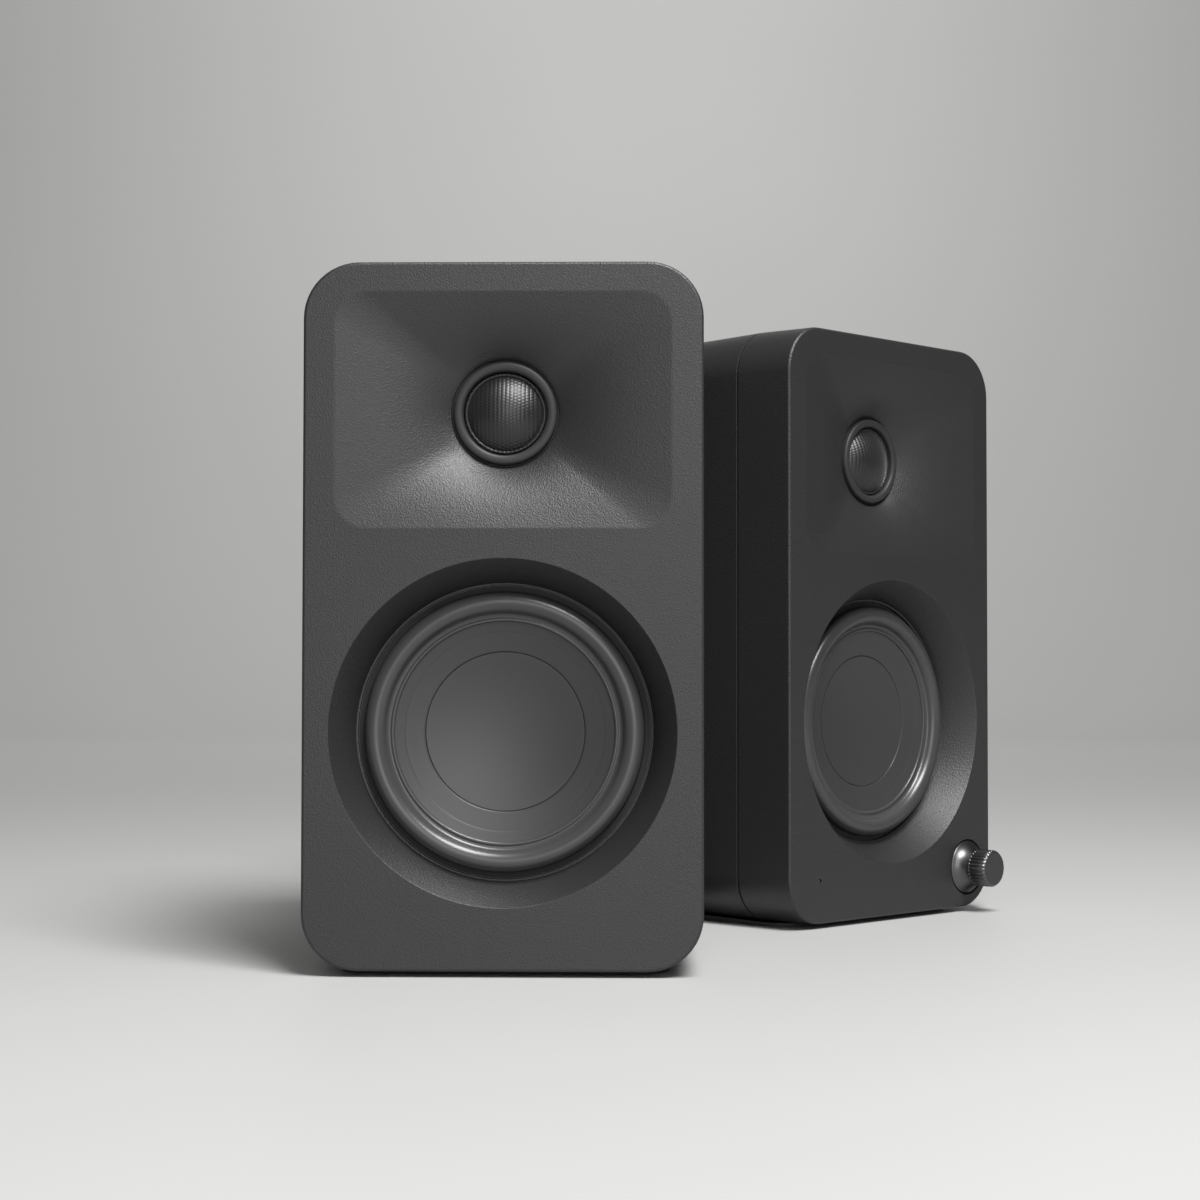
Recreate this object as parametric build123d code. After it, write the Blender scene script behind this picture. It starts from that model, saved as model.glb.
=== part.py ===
from build123d import *
from math import cos, pi, radians, sin, sqrt, tan
import os

# Pair of compact powered desktop speakers: a passive cabinet and an active one that carries the volume
# knob, the amplifier and the inputs. Millimetres, +Z up. The origin is on the desk, under the middle of
# the passive cabinet, and the passive cabinet faces -Y. Both cabinets are built by the same functions
# around that origin and the active one is then set down beside and behind the first, turned outwards.
# "Depth" is always measured back from a cabinet's front face, and "height" up from its lower front edge.

# ---- driving dimensions -------------------------------------------------------------------------
WIDTH = 100.0              # front face, side to side
HEIGHT = 176.6             # front face, bottom to top
DEPTH = 131.0              # front face to back face, without the knob
CORNER_R = 14.0            # corners of the cross-section
EDGE_R = 0.8               # softened edge round the front face
BACK_EDGE_R = 12.0         # rounding round the back face
DRAFT = 1.2                # moulding draft in degrees, away from the seam both ways
WALL = 2.6                 # shell wall
BAFFLE = 3.0               # thickness of the front face
SEAM_AT = 19.6             # depth where the front shell ends
SEAM_GAP = 0.5             # width of the parting groove
PAD_T = 1.5                # rubber base pad under the front edge

ACTIVE_X = 63.9            # active cabinet's base centre, seen from the passive one's
ACTIVE_Y = 116.1
ACTIVE_TURN = 46.8         # degrees, anticlockwise from above

HORN_W = 84.2              # mouth of the waveguide
HORN_H = 59.3
HORN_R = 8.0               # mouth corners
HORN_DEPTH = 9.6           # depth of the throat
HORN_WALL = 2.4
THROAT_R = 13.7
TWEETER_H = 139.6          # height of the tweeter's axis

WOOFER_H = 59.1            # height of the woofer's axis
RIM_R = 43.4               # recess round the woofer, at the face
LEDGE_R = 37.6             # and at its foot
LEDGE_DEPTH = 10.5
DISH_R = 86.0              # radius of the shallow dish that cone and cap share
DISH_DEPTH = 14.7          # depth of the dish's middle
CONE_R = 28.8
CAP_R = 20.1

KNOB_U = 38.0              # knob, right of the active cabinet's middle
KNOB_H = 12.5
KNOB_GAP_R = 8.66          # hole in the face round the knob
KNOB_BASE_R = 8.3
KNOB_NECK_R = 5.3
KNOB_CAP_R = 5.76
KNOB_OUT = 10.3            # how far the knob stands out
LED_U = -36.0
LED_H = 12.6
LED_R = 0.65

PORT_H = 132.0             # bass port in the back face
PORT_R = 14.0
PORT_LENGTH = 70.0

SCREW_R = 1.25             # all the screws are the same: 2.5 mm shank, 10 mm under the head
SCREW_LENGTH = 10.0
HEAD_R = 2.75
HEAD_T = 1.8
HOLE_R = 1.3

INSERT_BORE_R = 2.55       # 1/4-20 stand thread, shown at its minor diameter
INSERT_R = 4.5
INSERT_LENGTH = 10.0

# ---- values that follow ---------------------------------------------------------------------------
SLOPE = tan(radians(DRAFT))
FACE_Y = -DEPTH / 2
MID_H = HEIGHT / 2
SEAM_W = WIDTH + 2 * SEAM_AT * SLOPE
SEAM_H = HEIGHT + 2 * SEAM_AT * SLOPE
SEAM_R = CORNER_R + SEAM_AT * SLOPE
REAR_START = SEAM_AT + SEAM_GAP
REAR_LENGTH = DEPTH - REAR_START
CASE_SCREWS = [(u * side, h) for u, h in ((22.0, 17.0), (33.0, 103.0), (33.0, 160.0)) for side in (-1, 1)]
WOOFER_SCREW_R = 43.5
TERMINAL_H = 92.0          # solder tab above the woofer's frame
TWEETER_SCREW_R = 19.2
SEAT_DEPTH = 12.6          # where the woofer's flange meets the front shell
COLUMN_FOOT = 22.6         # head seats of the case screws, deep in their columns
PANEL_T = 1.6

parts = {}


# ---- building blocks --------------------------------------------------------------------------------
def at(u, depth, height):
    """Place on a cabinet: sideways from its middle, back from its face, up from its lower edge."""
    return Pos(u, FACE_Y + depth, PAD_T + height)


def section(depth, height=MID_H, u=0.0):
    """Drawing plane parallel to the front face; extruding by a positive amount goes back."""
    origin = (u, FACE_Y + depth, PAD_T + height)
    return Plane(origin=origin, x_dir=(1, 0, 0), z_dir=(0, 1, 0))


def slab(width, height, radius, depth, length, middle=MID_H, u=0.0, taper=0.0):
    """Rounded rectangle carried back through the cabinet; a negative taper widens it on the way."""
    outline = section(depth, middle, u) * RectangleRounded(width, height, radius)
    return extrude(outline, amount=length, taper=taper)


def block(width, length, height, u, depth, middle):
    """Plain box with its front face at the given depth."""
    return at(u, depth + length / 2, middle) * Box(width, length, height)


def rod(radius, depth, length, u, height):
    """Cylinder running back from the given depth."""
    return extrude(section(depth, height, u) * Circle(radius), amount=length)


def turned(outline, height, u=0.0):
    """Solid of revolution about a front-to-back axis; the outline is drawn as (radius, depth)."""
    return at(u, 0, height) * revolve(outline, axis=Axis.Y)


def polygon(*points):
    return make_face(Polyline(*points, close=True))


def dish_depth(radius):
    """Depth of the dish that the cone and the dust cap share."""
    return DISH_DEPTH - (DISH_R - sqrt(DISH_R**2 - radius**2))


def around(count, radius, first=0.0):
    """Points spaced evenly round an axis."""
    return [
        (radius * cos(radians(first) + 2 * pi * i / count), radius * sin(radians(first) + 2 * pi * i / count))
        for i in range(count)
    ]


# ---- cabinet ------------------------------------------------------------------------------------------
def recess_cut():
    """Bell-mouthed recess: the wall runs straight back at its foot and flares out to the rim."""
    drop = RIM_R - LEDGE_R
    flare_r = (drop**2 + LEDGE_DEPTH**2) / (2 * drop)
    half = LEDGE_DEPTH / 2
    mid_r = LEDGE_R + flare_r - sqrt(flare_r**2 - (LEDGE_DEPTH - half) ** 2)
    wall = ThreePointArc((RIM_R, 0), (mid_r, half), (LEDGE_R, LEDGE_DEPTH))
    foot = Polyline((LEDGE_R, LEDGE_DEPTH), (LEDGE_R, 14), (0, 14), (0, 0), (RIM_R, 0))
    return turned(make_face(wall + foot), WOOFER_H)


def horn(grow, depth, length):
    """Waveguide between its rounded mouth and its round throat, or the same shape grown by a wall."""
    throat = 2 * (THROAT_R + grow)
    mouth = section(depth, TWEETER_H) * RectangleRounded(HORN_W + 2 * grow, HORN_H + 2 * grow, HORN_R + grow)
    neck = section(depth + length, TWEETER_H) * RectangleRounded(throat, throat, throat / 2 - 0.01)
    return loft([mouth, neck], ruled=True)


def front_shell(active):
    body = slab(WIDTH, HEIGHT, CORNER_R, 0, SEAM_AT, taper=-DRAFT)
    body = fillet(body.faces().sort_by(Axis.Y)[0].edges(), EDGE_R)
    room = slab(WIDTH - 2 * WALL, HEIGHT - 2 * WALL, CORNER_R - WALL, BAFFLE, SEAM_AT, taper=-DRAFT)
    backing = turned(
        polygon((30, 1), (RIM_R + 2.4, 1), (RIM_R + 2.4, 3), (42, 7), (42, SEAT_DEPTH), (30, SEAT_DEPTH)),
        WOOFER_H,
    )
    shell = body - room + backing + horn(HORN_WALL, 1.0, HORN_DEPTH + 1.2)
    shell += rod(THROAT_R + 3, 7, 4.8, 0, TWEETER_H)
    for u, v in around(4, WOOFER_SCREW_R, 45):
        shell += rod(3.2, 2, SEAT_DEPTH - 2, u, WOOFER_H + v)
    for u, v in around(3, TWEETER_SCREW_R, 90):
        shell += rod(2.8, 7, 11, u, TWEETER_H + v)
    for u, h in CASE_SCREWS:
        shell += rod(3.6, 2, SEAM_AT - 2, u, h)
    if active:
        shell += rod(KNOB_GAP_R + 1.6, 1, 4.4, KNOB_U, KNOB_H)
    shell -= recess_cut()
    shell -= horn(0, 0, HORN_DEPTH) + rod(THROAT_R, HORN_DEPTH - 0.5, 3, 0, TWEETER_H)
    for u, v in around(4, WOOFER_SCREW_R, 45):
        shell -= rod(HOLE_R, 4, 9, u, WOOFER_H + v)
    for u, v in around(3, TWEETER_SCREW_R, 90):
        shell -= rod(HOLE_R, 9.6, 9, u, TWEETER_H + v)
    for u, h in CASE_SCREWS:
        shell -= rod(HOLE_R, COLUMN_FOOT - SCREW_LENGTH - 0.5, 8, u, h)
    if active:
        shell -= rod(KNOB_GAP_R, 0, 3.4, KNOB_U, KNOB_H) + rod(3.6, 0, 6, KNOB_U, KNOB_H)
        shell -= rod(LED_R, 0, 4, LED_U, LED_H)
    return shell


def rear_outer():
    body = slab(SEAM_W, SEAM_H, SEAM_R, REAR_START, REAR_LENGTH, taper=DRAFT)
    return fillet(body.faces().sort_by(Axis.Y)[-1].edges(), BACK_EDGE_R)


def rear_shell(panel):
    """Tapered tub with long screw columns, a port hole and a recessed opening for its connector panel."""
    room = slab(
        SEAM_W - 2 * WALL, SEAM_H - 2 * WALL, SEAM_R - WALL, REAR_START, REAR_LENGTH - WALL, taper=DRAFT
    )
    room = fillet(room.faces().sort_by(Axis.Y)[-1].edges(), BACK_EDGE_R - WALL)
    shell = rear_outer() - room
    for u, h in CASE_SCREWS:
        shell += rod(4.6, REAR_START, REAR_LENGTH - 1.5, u, h)
    shell += Pos(0, 0, 7.5) * Cylinder(7.5, 9)
    for u, v in panel_screws(panel):
        shell += rod(3.2, DEPTH - 13, 12, u, panel["height"] + v)
    shell -= rod(PORT_R + 2.2, DEPTH - 4, 5, 0, PORT_H) + rod(PORT_R + 5.2, DEPTH - 1.2, 2, 0, PORT_H)
    shell -= slab(panel["w"], panel["h"], 3.0, DEPTH - PANEL_T, 5, panel["height"])
    shell -= slab(panel["w"] - 12, panel["h"] - 12, 2.0, DEPTH - 14, 20, panel["height"])
    for u, v in panel_screws(panel):
        shell -= rod(HOLE_R, DEPTH - PANEL_T - SCREW_LENGTH - 0.4, SCREW_LENGTH + 1, u, panel["height"] + v)
    for u, h in CASE_SCREWS:
        shell -= rod(HOLE_R + 0.2, REAR_START - 1, 5, u, h) + rod(3.3, COLUMN_FOOT, DEPTH, u, h)
    return shell - Cylinder(INSERT_R, 2 * INSERT_LENGTH)


def panel_screws(panel):
    """Screw places in a panel's corners, from its middle."""
    u = panel["w"] / 2 - 3.6
    v = panel["h"] / 2 - 3.6
    return [(a * u, b * v) for a in (-1, 1) for b in (-1, 1)]


def seam_gasket():
    ring = slab(SEAM_W - 1.2, SEAM_H - 1.2, SEAM_R - 0.6, SEAM_AT, SEAM_GAP)
    ring -= slab(SEAM_W - 4.8, SEAM_H - 4.8, SEAM_R - 2.4, SEAM_AT - 1, 3)
    return ring


def base_pad():
    """Rubber sheet between the desk and the drafted underside, with a hole round the stand thread."""
    sheet = Pos(0, 0, 3) * extrude(RectangleRounded(84, 115, 9), amount=6, both=True)
    sheet &= Pos(0, 0, 5) * Box(WIDTH, DEPTH, 10)
    sheet -= slab(WIDTH, HEIGHT, CORNER_R, 0, SEAM_AT, taper=-DRAFT)
    sheet -= slab(SEAM_W, SEAM_H, SEAM_R, SEAM_AT, SEAM_GAP)
    sheet -= rear_outer()
    sheet -= Cylinder(INSERT_R + 1.6, 30)
    return sheet


def stand_insert():
    """Flanged brass insert in the underside, blind, with its mouth level with the rubber pad."""
    insert = Pos(0, 0, INSERT_LENGTH / 2) * Cylinder(INSERT_R, INSERT_LENGTH)
    insert += Pos(0, 0, 0.4) * Cylinder(INSERT_R + 1.0, 0.8)
    return insert - Cylinder(INSERT_BORE_R, 2 * (INSERT_LENGTH - 1))


def screw(depth, u, height):
    """One screw with its head's seat at the given depth, pointing to the front."""
    head = rod(HEAD_R, depth, HEAD_T, u, height) - rod(1.2, depth + HEAD_T - 1.0, 2, u, height)
    return head + rod(SCREW_R, depth - SCREW_LENGTH, SCREW_LENGTH, u, height)


def screws(panel):
    solids = [screw(COLUMN_FOOT, u, h) for u, h in CASE_SCREWS]
    solids += [screw(SEAT_DEPTH + 1.8, u, WOOFER_H + v) for u, v in around(4, WOOFER_SCREW_R, 45)]
    solids += [screw(20.0, u, TWEETER_H + v) for u, v in around(3, TWEETER_SCREW_R, 90)]
    solids += [screw(DEPTH, u, panel["height"] + v) for u, v in panel_screws(panel)]
    return solids


def port_tube():
    """Flared bass port, let into the back face."""
    back = DEPTH
    flare = ThreePointArc((PORT_R, back - 4), (PORT_R + 1.17, back - 1.17), (PORT_R + 4, back))
    rest = Polyline(
        (PORT_R + 4, back), (PORT_R + 5, back), (PORT_R + 5, back - 1.2), (PORT_R + 2, back - 1.2),
        (PORT_R + 2, back - PORT_LENGTH), (PORT_R, back - PORT_LENGTH), (PORT_R, back - 4),
    )
    return turned(make_face(flare + rest), PORT_H)


# ---- woofer ---------------------------------------------------------------------------------------------
def woofer_frame():
    outline = polygon(
        (37.2, 11.2), (37.2, SEAT_DEPTH), (42.5, SEAT_DEPTH), (42.5, 14.4), (36.5, 14.4), (27, 27), (27, 33),
        (12, 33), (12, 31.2), (24, 31.2), (24, 26.5), (25.4, 26.5), (35.2, 13.5), (35.2, 11.2),
    )
    frame = turned(outline, WOOFER_H)
    for u, v in around(4, WOOFER_SCREW_R, 45):
        frame += rod(3.4, SEAT_DEPTH, 1.8, u, WOOFER_H + v)
    for u, v in around(4, WOOFER_SCREW_R, 45):
        frame -= rod(HOLE_R + 0.1, SEAT_DEPTH - 1, 4, u, WOOFER_H + v)
    frame -= block(26, 7, 100, 0, 17, WOOFER_H) + block(100, 7, 26, 0, 17, WOOFER_H)
    return frame + block(16, 1.6, 9, 0, 24.4, TERMINAL_H)


def woofer_surround():
    """Half-roll of rubber with a flange on the frame's rim and one against the cone's edge."""
    middle, base, outer, inner = 32.5, 10.3, 3.3, 2.6
    crest = ThreePointArc((middle + outer, base), (middle, base - outer), (middle - outer, base))
    hollow = ThreePointArc((middle - inner, base), (middle, base - inner), (middle + inner, base))
    bead = CONE_R + 0.1
    foot = Polyline((middle - outer, base), (bead, base - 0.3), (bead, base + 0.5), (middle - inner, base))
    flange = Polyline((middle + inner, base), (35.3, 11.2), (37.0, 11.2), (37.0, 10.5), (middle + outer, base))
    return turned(make_face(crest + foot + hollow + flange), WOOFER_H)


def dish_arc(r_from, r_to, back=0.0):
    """Arc of the shared dish between two radii, moved back by a thickness."""
    points = [(r, dish_depth(r) + back) for r in (r_from, (r_from + r_to) / 2, r_to)]
    return ThreePointArc(*points)


def woofer_cone():
    """Shallow dished ring that turns down into a neck under the dust cap."""
    front = dish_arc(CONE_R, CAP_R)
    edge = dish_depth(CONE_R)
    step = dish_depth(CAP_R)
    under = Polyline(
        (CAP_R, step), (CAP_R, step + 0.6), (18.6, step + 1.0), (10.45, 20.0), (10.45, 21.2),
        (19.4, step + 1.9), (CONE_R, edge + 0.8), (CONE_R, edge),
    )
    return turned(make_face(front + under), WOOFER_H)


def woofer_dust_cap():
    radius = CAP_R - 0.05
    back = 0.5
    front_arc = dish_arc(radius, 0)
    back_arc = dish_arc(0, radius, back)
    edge = Line((radius, dish_depth(radius) + back), (radius, dish_depth(radius)))
    axis = Line((0, dish_depth(0)), (0, dish_depth(0) + back))
    return turned(make_face(front_arc + axis + back_arc + edge), WOOFER_H)


def woofer_coil():
    former = polygon((9.95, 17.5), (10.45, 17.5), (10.45, 40.5), (9.95, 40.5))
    winding = polygon((10.45, 31.5), (10.75, 31.5), (10.75, 38.5), (10.45, 38.5))
    return turned(former + winding, WOOFER_H)


def woofer_spider():
    """Corrugated disc between the coil's neck and the frame's shoulder."""
    ripple, pitch, thick, depth = 0.9, 3.0, 0.5, 25.75
    count = 9
    radii = [10.5 + (25.2 - 10.5) * i / count for i in range(count + 1)]
    front = [(r, depth + (ripple if i % 2 and i < count - 1 else 0) - 0.25) for i, r in enumerate(radii)]
    back = [(r, d + thick) for r, d in reversed(front)]
    return turned(polygon(*front, *back), WOOFER_H)


def woofer_top_plate():
    return turned(polygon((11.1, 33), (25, 33), (25, 37), (11.1, 37)), WOOFER_H)


def woofer_magnet():
    return turned(polygon((14, 37), (27.5, 37), (27.5, 45), (14, 45)), WOOFER_H)


def woofer_yoke():
    return turned(polygon((0, 33), (9.6, 33), (9.6, 45), (25, 45), (25, 49), (0, 49)), WOOFER_H)


# ---- tweeter ----------------------------------------------------------------------------------------------
def tweeter_frame():
    """Raised ring in the throat, with the sleeve and flange that hold the motor behind it."""
    crest = ThreePointArc((13.1, 9.2), (12.0, 8.0), (10.6, 8.9))
    rest = Polyline(
        (10.6, 8.9), (10.6, 13.8), (14.9, 13.8), (14.9, 20), (22.4, 20), (22.4, 18), (16.2, 18), (16.2, 11.8),
        (13.1, 11.8), (13.1, 9.2),
    )
    frame = turned(make_face(crest + rest), TWEETER_H)
    for u, v in around(3, TWEETER_SCREW_R, 90):
        frame -= rod(HOLE_R + 0.1, 17, 4, u, TWEETER_H + v)
    return frame


def tweeter_dome():
    """Soft dome with its own small edge roll."""
    radius, base, rise, thick = 9.4, 9.9, 3.6, 0.35
    ball = (radius**2 + rise**2) / (2 * rise)
    centre = base - rise + ball

    def cap(r, drop=0.0):
        return (r, centre - sqrt((ball - drop) ** 2 - r**2))

    front = ThreePointArc(cap(0), cap(radius / 2), cap(radius))
    back = ThreePointArc(cap(radius - 0.2, thick), cap(radius / 2, thick), cap(0, thick))
    roll = Polyline(cap(radius), (10.2, base), (10.2, base + 0.4), (9.1, base + 0.4), cap(radius - 0.2, thick))
    axis = Line(cap(0, thick), cap(0))
    return turned(make_face(front + roll + back + axis), TWEETER_H)


def tweeter_coil():
    return turned(polygon((9.2, 10.3), (9.5, 10.3), (9.5, 16.0), (9.2, 16.0)), TWEETER_H)


def tweeter_cup():
    outline = polygon(
        (0, 21), (12.5, 21), (12.5, 16.3), (9.9, 16.3), (9.9, 13.8), (14.8, 13.8), (14.8, 23), (0, 23),
    )
    return turned(outline, TWEETER_H)


def tweeter_magnet():
    return turned(polygon((0, 13.8), (8.8, 13.8), (8.8, 21), (0, 21)), TWEETER_H)


# ---- leads, panels and electronics ----------------------------------------------------------------------
def lead(points, radius=1.0):
    """Insulated pair through the given (u, depth, height) points, with round bends."""
    route = [at(*p).position for p in points]
    path = FilletPolyline(*route, radius=6)
    start = Plane(origin=path @ 0, z_dir=path % 0)
    return sweep(start * Circle(radius), path=path)


def leads(depth, height):
    """Two leads from the connectors at the back to the woofer's tab and the tweeter's cup."""
    to_woofer = [(-3, depth, height), (-3, 78, height), (-12, 56, 100), (-5, 42, TERMINAL_H)]
    to_woofer.append((-5, 26, TERMINAL_H))
    to_tweeter = [(3, depth, height), (3, 84, height), (10, 55, 106), (5, 46, TWEETER_H), (5, 23, TWEETER_H)]
    return [lead(to_woofer), lead(to_tweeter)]


def connector_panel(panel, cuts):
    plate = slab(panel["w"] - 0.4, panel["h"] - 0.4, 2.8, DEPTH - PANEL_T, PANEL_T, panel["height"])
    for u, v in panel_screws(panel):
        plate -= rod(HOLE_R + 0.1, DEPTH - 4, 6, u, panel["height"] + v)
    for cut in cuts:
        plate -= cut
    return plate


PASSIVE_PANEL = {"w": 46.0, "h": 34.0, "height": 52.0}
ACTIVE_PANEL = {"w": 66.0, "h": 58.0, "height": 52.0}
BOARD_AT = 113.0           # front of the amplifier board, behind the sockets
LINK_U, LINK_H = -18.0, 37.0   # socket for the cable between the two cabinets, on the active panel
JACK_U, JACK_H = -14.0, 66.0
JACK_PITCH = 14.0
JACK_R = 4.15              # phono sleeve, a standard size
JACK_OUT = 7.5
JACK_COLLAR_R = 4.8        # the sleeve's collar in the panel
USB_U, USB_H = 20.0, 68.0
POWER_U, POWER_H = 18.0, 37.0
SWAP_U, SWAP_H = 20.0, 54.0
SWAP_TRAVEL = 3.0


def link_socket(u, height):
    """Four-pole locking socket, open to the back."""
    body = block(17, 15, 11, u, DEPTH - 14.4, height)
    body -= block(13, 10, 7, u, DEPTH - 8.4, height)
    for i in range(4):
        body += rod(0.5, DEPTH - 9, 4.5, u - 4.8 + 3.2 * i, height)
    return body


def link_cut(u, height):
    return block(17.2, 6, 11.2, u, DEPTH - 4, height)


def passive_panel_cuts():
    return [link_cut(0, PASSIVE_PANEL["height"])]


def active_panel_cuts():
    cuts = [link_cut(LINK_U, LINK_H)]
    for side in (-1, 1):
        cuts.append(rod(JACK_COLLAR_R + 0.2, DEPTH - 4, 6, JACK_U + side * JACK_PITCH / 2, JACK_H))
    cuts.append(slab(9.4, 3.7, 1.6, DEPTH - 4, 6, USB_H, USB_U))
    cuts.append(rod(5.2, DEPTH - 4, 6, POWER_U, POWER_H))
    cuts.append(block(8.0, 6, 3.4, SWAP_U, DEPTH - 4, SWAP_H))
    return cuts


def rca_jacks():
    """Pair of phono sockets: a common body on the board and two sleeves through the panel."""
    body = block(30, 9, 12, JACK_U, BOARD_AT + 1.6, JACK_H)
    for side in (-1, 1):
        u = JACK_U + side * JACK_PITCH / 2
        body += rod(JACK_COLLAR_R, BOARD_AT + 10, DEPTH - BOARD_AT - 10, u, JACK_H)
        body += rod(JACK_R, DEPTH - 0.1, JACK_OUT + 0.1, u, JACK_H)
        body -= rod(1.7, DEPTH - 8, 20, u, JACK_H)
    return body


def usb_socket():
    shell = slab(9.0, 3.3, 1.5, BOARD_AT + 1.6, DEPTH - 0.2 - BOARD_AT - 1.6, USB_H, USB_U)
    shell -= slab(8.4, 2.7, 1.3, DEPTH - 7, 8, USB_H, USB_U)
    return shell + block(6.6, 5.5, 0.7, USB_U, DEPTH - 7, USB_H)


def power_inlet():
    body = block(11, 13, 12, POWER_U, BOARD_AT + 1.6, POWER_H)
    body += rod(5.0, BOARD_AT + 12, DEPTH - 0.2 - BOARD_AT - 12, POWER_U, POWER_H)
    body -= rod(3.1, DEPTH - 10, 12, POWER_U, POWER_H)
    return body + rod(1.0, DEPTH - 10.5, 9.3, POWER_U, POWER_H)


def swap_slider():
    """Thumb piece that swaps left and right, standing through its slot at the left end."""
    u = SWAP_U - SWAP_TRAVEL / 2
    thumb = block(2.6, 7.4, 2.6, u, DEPTH - 7, SWAP_H)
    return thumb + block(4.4, 2, 4.4, u, DEPTH - 8, SWAP_H)


def amp_board():
    """Amplifier board with the switch's case and its power parts on it."""
    board = block(58, 1.6, 48, 0, BOARD_AT, 51.5)
    board += block(11, 8.3, 5.6, SWAP_U, BOARD_AT + 1.6, SWAP_H)
    for u in (-22.0, -10.0):
        board += rod(4.0, BOARD_AT - 14, 14, u, 35.0)
    return board + block(12, 6, 10, 20, BOARD_AT - 6, 66)


def heat_sink():
    """Finned aluminium block on the board's front."""
    block_h, fins = 24.0, 7
    sink = block(34, 3, block_h, -4, BOARD_AT - 3, 56)
    for i in range(fins):
        sink += block(1.4, 11, block_h, -19.2 + 30.4 * i / (fins - 1), BOARD_AT - 14, 56)
    return sink


def control_board():
    """Front board under the woofer: encoder at one end and lamp at the other."""
    board = block(82, 1.6, 6.5, 1, 15.4, 9.3) + block(12, 1.6, 13, 37, 15.4, 12.6)
    return board + block(3, 1, 3, LED_U, 14.4, LED_H - 1.2) + block(5, 1.6, 8, LED_U, 15.4, 10.5)


def light_pipe():
    return rod(LED_R - 0.05, 0.5, 3, LED_U, LED_H) + rod(1.6, 3.05, 11.2, LED_U, LED_H)


def encoder_body():
    """Square case with a threaded bush, hollow for the plunger."""
    case = block(11, 6.4, 11, KNOB_U, 9.0, KNOB_H) + rod(3.55, 3.0, 6.2, KNOB_U, KNOB_H)
    case -= rod(3.06, 2, 8.6, KNOB_U, KNOB_H)
    return case - rod(4.5, 10.5, 4.0, KNOB_U, KNOB_H)


def encoder_plunger():
    """Disc under the shaft that works the push switch."""
    return rod(4.2, 11.4, 1.4, KNOB_U, KNOB_H)


def encoder_shaft():
    shaft = rod(3.0, -8.2, 19.6, KNOB_U, KNOB_H) + rod(4.0, 10.6, 0.8, KNOB_U, KNOB_H)
    return shaft - block(7, 7.0, 2, KNOB_U, -8.3, KNOB_H + 2.5)


def volume_knob():
    """Flared base, narrow neck and fluted grip, bored for the shaft."""
    grip, front = KNOB_CAP_R, -KNOB_OUT
    flare = ThreePointArc((KNOB_BASE_R, 0.2), (6.2, -1.4), (KNOB_NECK_R, -4.2))
    rest = Polyline(
        (KNOB_NECK_R, -4.2), (grip, -4.8), (grip, front + 0.6), (grip - 0.6, front), (0, front), (0, 2.4),
        (KNOB_BASE_R, 2.4), (KNOB_BASE_R, 0.2),
    )
    knob = turned(make_face(flare + rest), KNOB_H, KNOB_U)
    flutes = 30
    for u, v in around(flutes, grip + 0.12):
        knob -= rod(0.32, front - 1, KNOB_OUT - 3.8, KNOB_U + u, KNOB_H + v)
    bore = rod(3.0, -8.2, 12, KNOB_U, KNOB_H) - block(7, 7.0, 2, KNOB_U, -8.3, KNOB_H + 2.5)
    return knob - bore - rod(5.2, 1.0, 3, KNOB_U, KNOB_H)


# ---- assembly ---------------------------------------------------------------------------------------------
SPEAKERS = {
    "passive": (Location((0, 0, 0)), PASSIVE_PANEL),
    "active": (Location((ACTIVE_X, ACTIVE_Y, 0), (0, 0, ACTIVE_TURN)), ACTIVE_PANEL),
}
SAME_IN_BOTH = [
    seam_gasket, base_pad, stand_insert, port_tube, woofer_frame, woofer_surround, woofer_cone,
    woofer_dust_cap, woofer_coil, woofer_spider, woofer_top_plate, woofer_magnet, woofer_yoke,
    tweeter_frame, tweeter_dome, tweeter_coil, tweeter_cup, tweeter_magnet,
]
ACTIVE_ONLY = [
    rca_jacks, usb_socket, power_inlet, swap_slider, amp_board, heat_sink, control_board, light_pipe,
    encoder_body, encoder_plunger, encoder_shaft, volume_knob,
]


def put(name, solids, place):
    """Keep one node: a single solid, or a group of like ones."""
    group = solids if isinstance(solids, list) else [solids]
    moved = [place * solid for solid in group]
    parts[name] = moved[0] if len(moved) == 1 else Compound(moved)


shared = {make.__name__: make() for make in SAME_IN_BOTH}
for name, (place, panel) in SPEAKERS.items():
    for node, solid in shared.items():
        put(f"{name}_{node}", solid, place)
    put(f"{name}_rear_shell", rear_shell(panel), place)
    put(f"{name}_screws", screws(panel), place)

home, turned_out = (place for place, panel in SPEAKERS.values())
put("passive_front_shell", front_shell(active=False), home)
put("passive_connector_panel", connector_panel(PASSIVE_PANEL, passive_panel_cuts()), home)
put("passive_link_socket", link_socket(0, PASSIVE_PANEL["height"]), home)
put("passive_leads", leads(DEPTH - 14.4, PASSIVE_PANEL["height"]), home)

put("active_front_shell", front_shell(active=True), turned_out)
put("active_connector_panel", connector_panel(ACTIVE_PANEL, active_panel_cuts()), turned_out)
put("active_link_socket", link_socket(LINK_U, LINK_H), turned_out)
put("active_leads", leads(BOARD_AT, 35.0), turned_out)
for make in ACTIVE_ONLY:
    put(make.__name__, make(), turned_out)

os.makedirs("parts", exist_ok=True)
for name, solid in parts.items():
    export_step(solid, f"parts/{name}.step")
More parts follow.
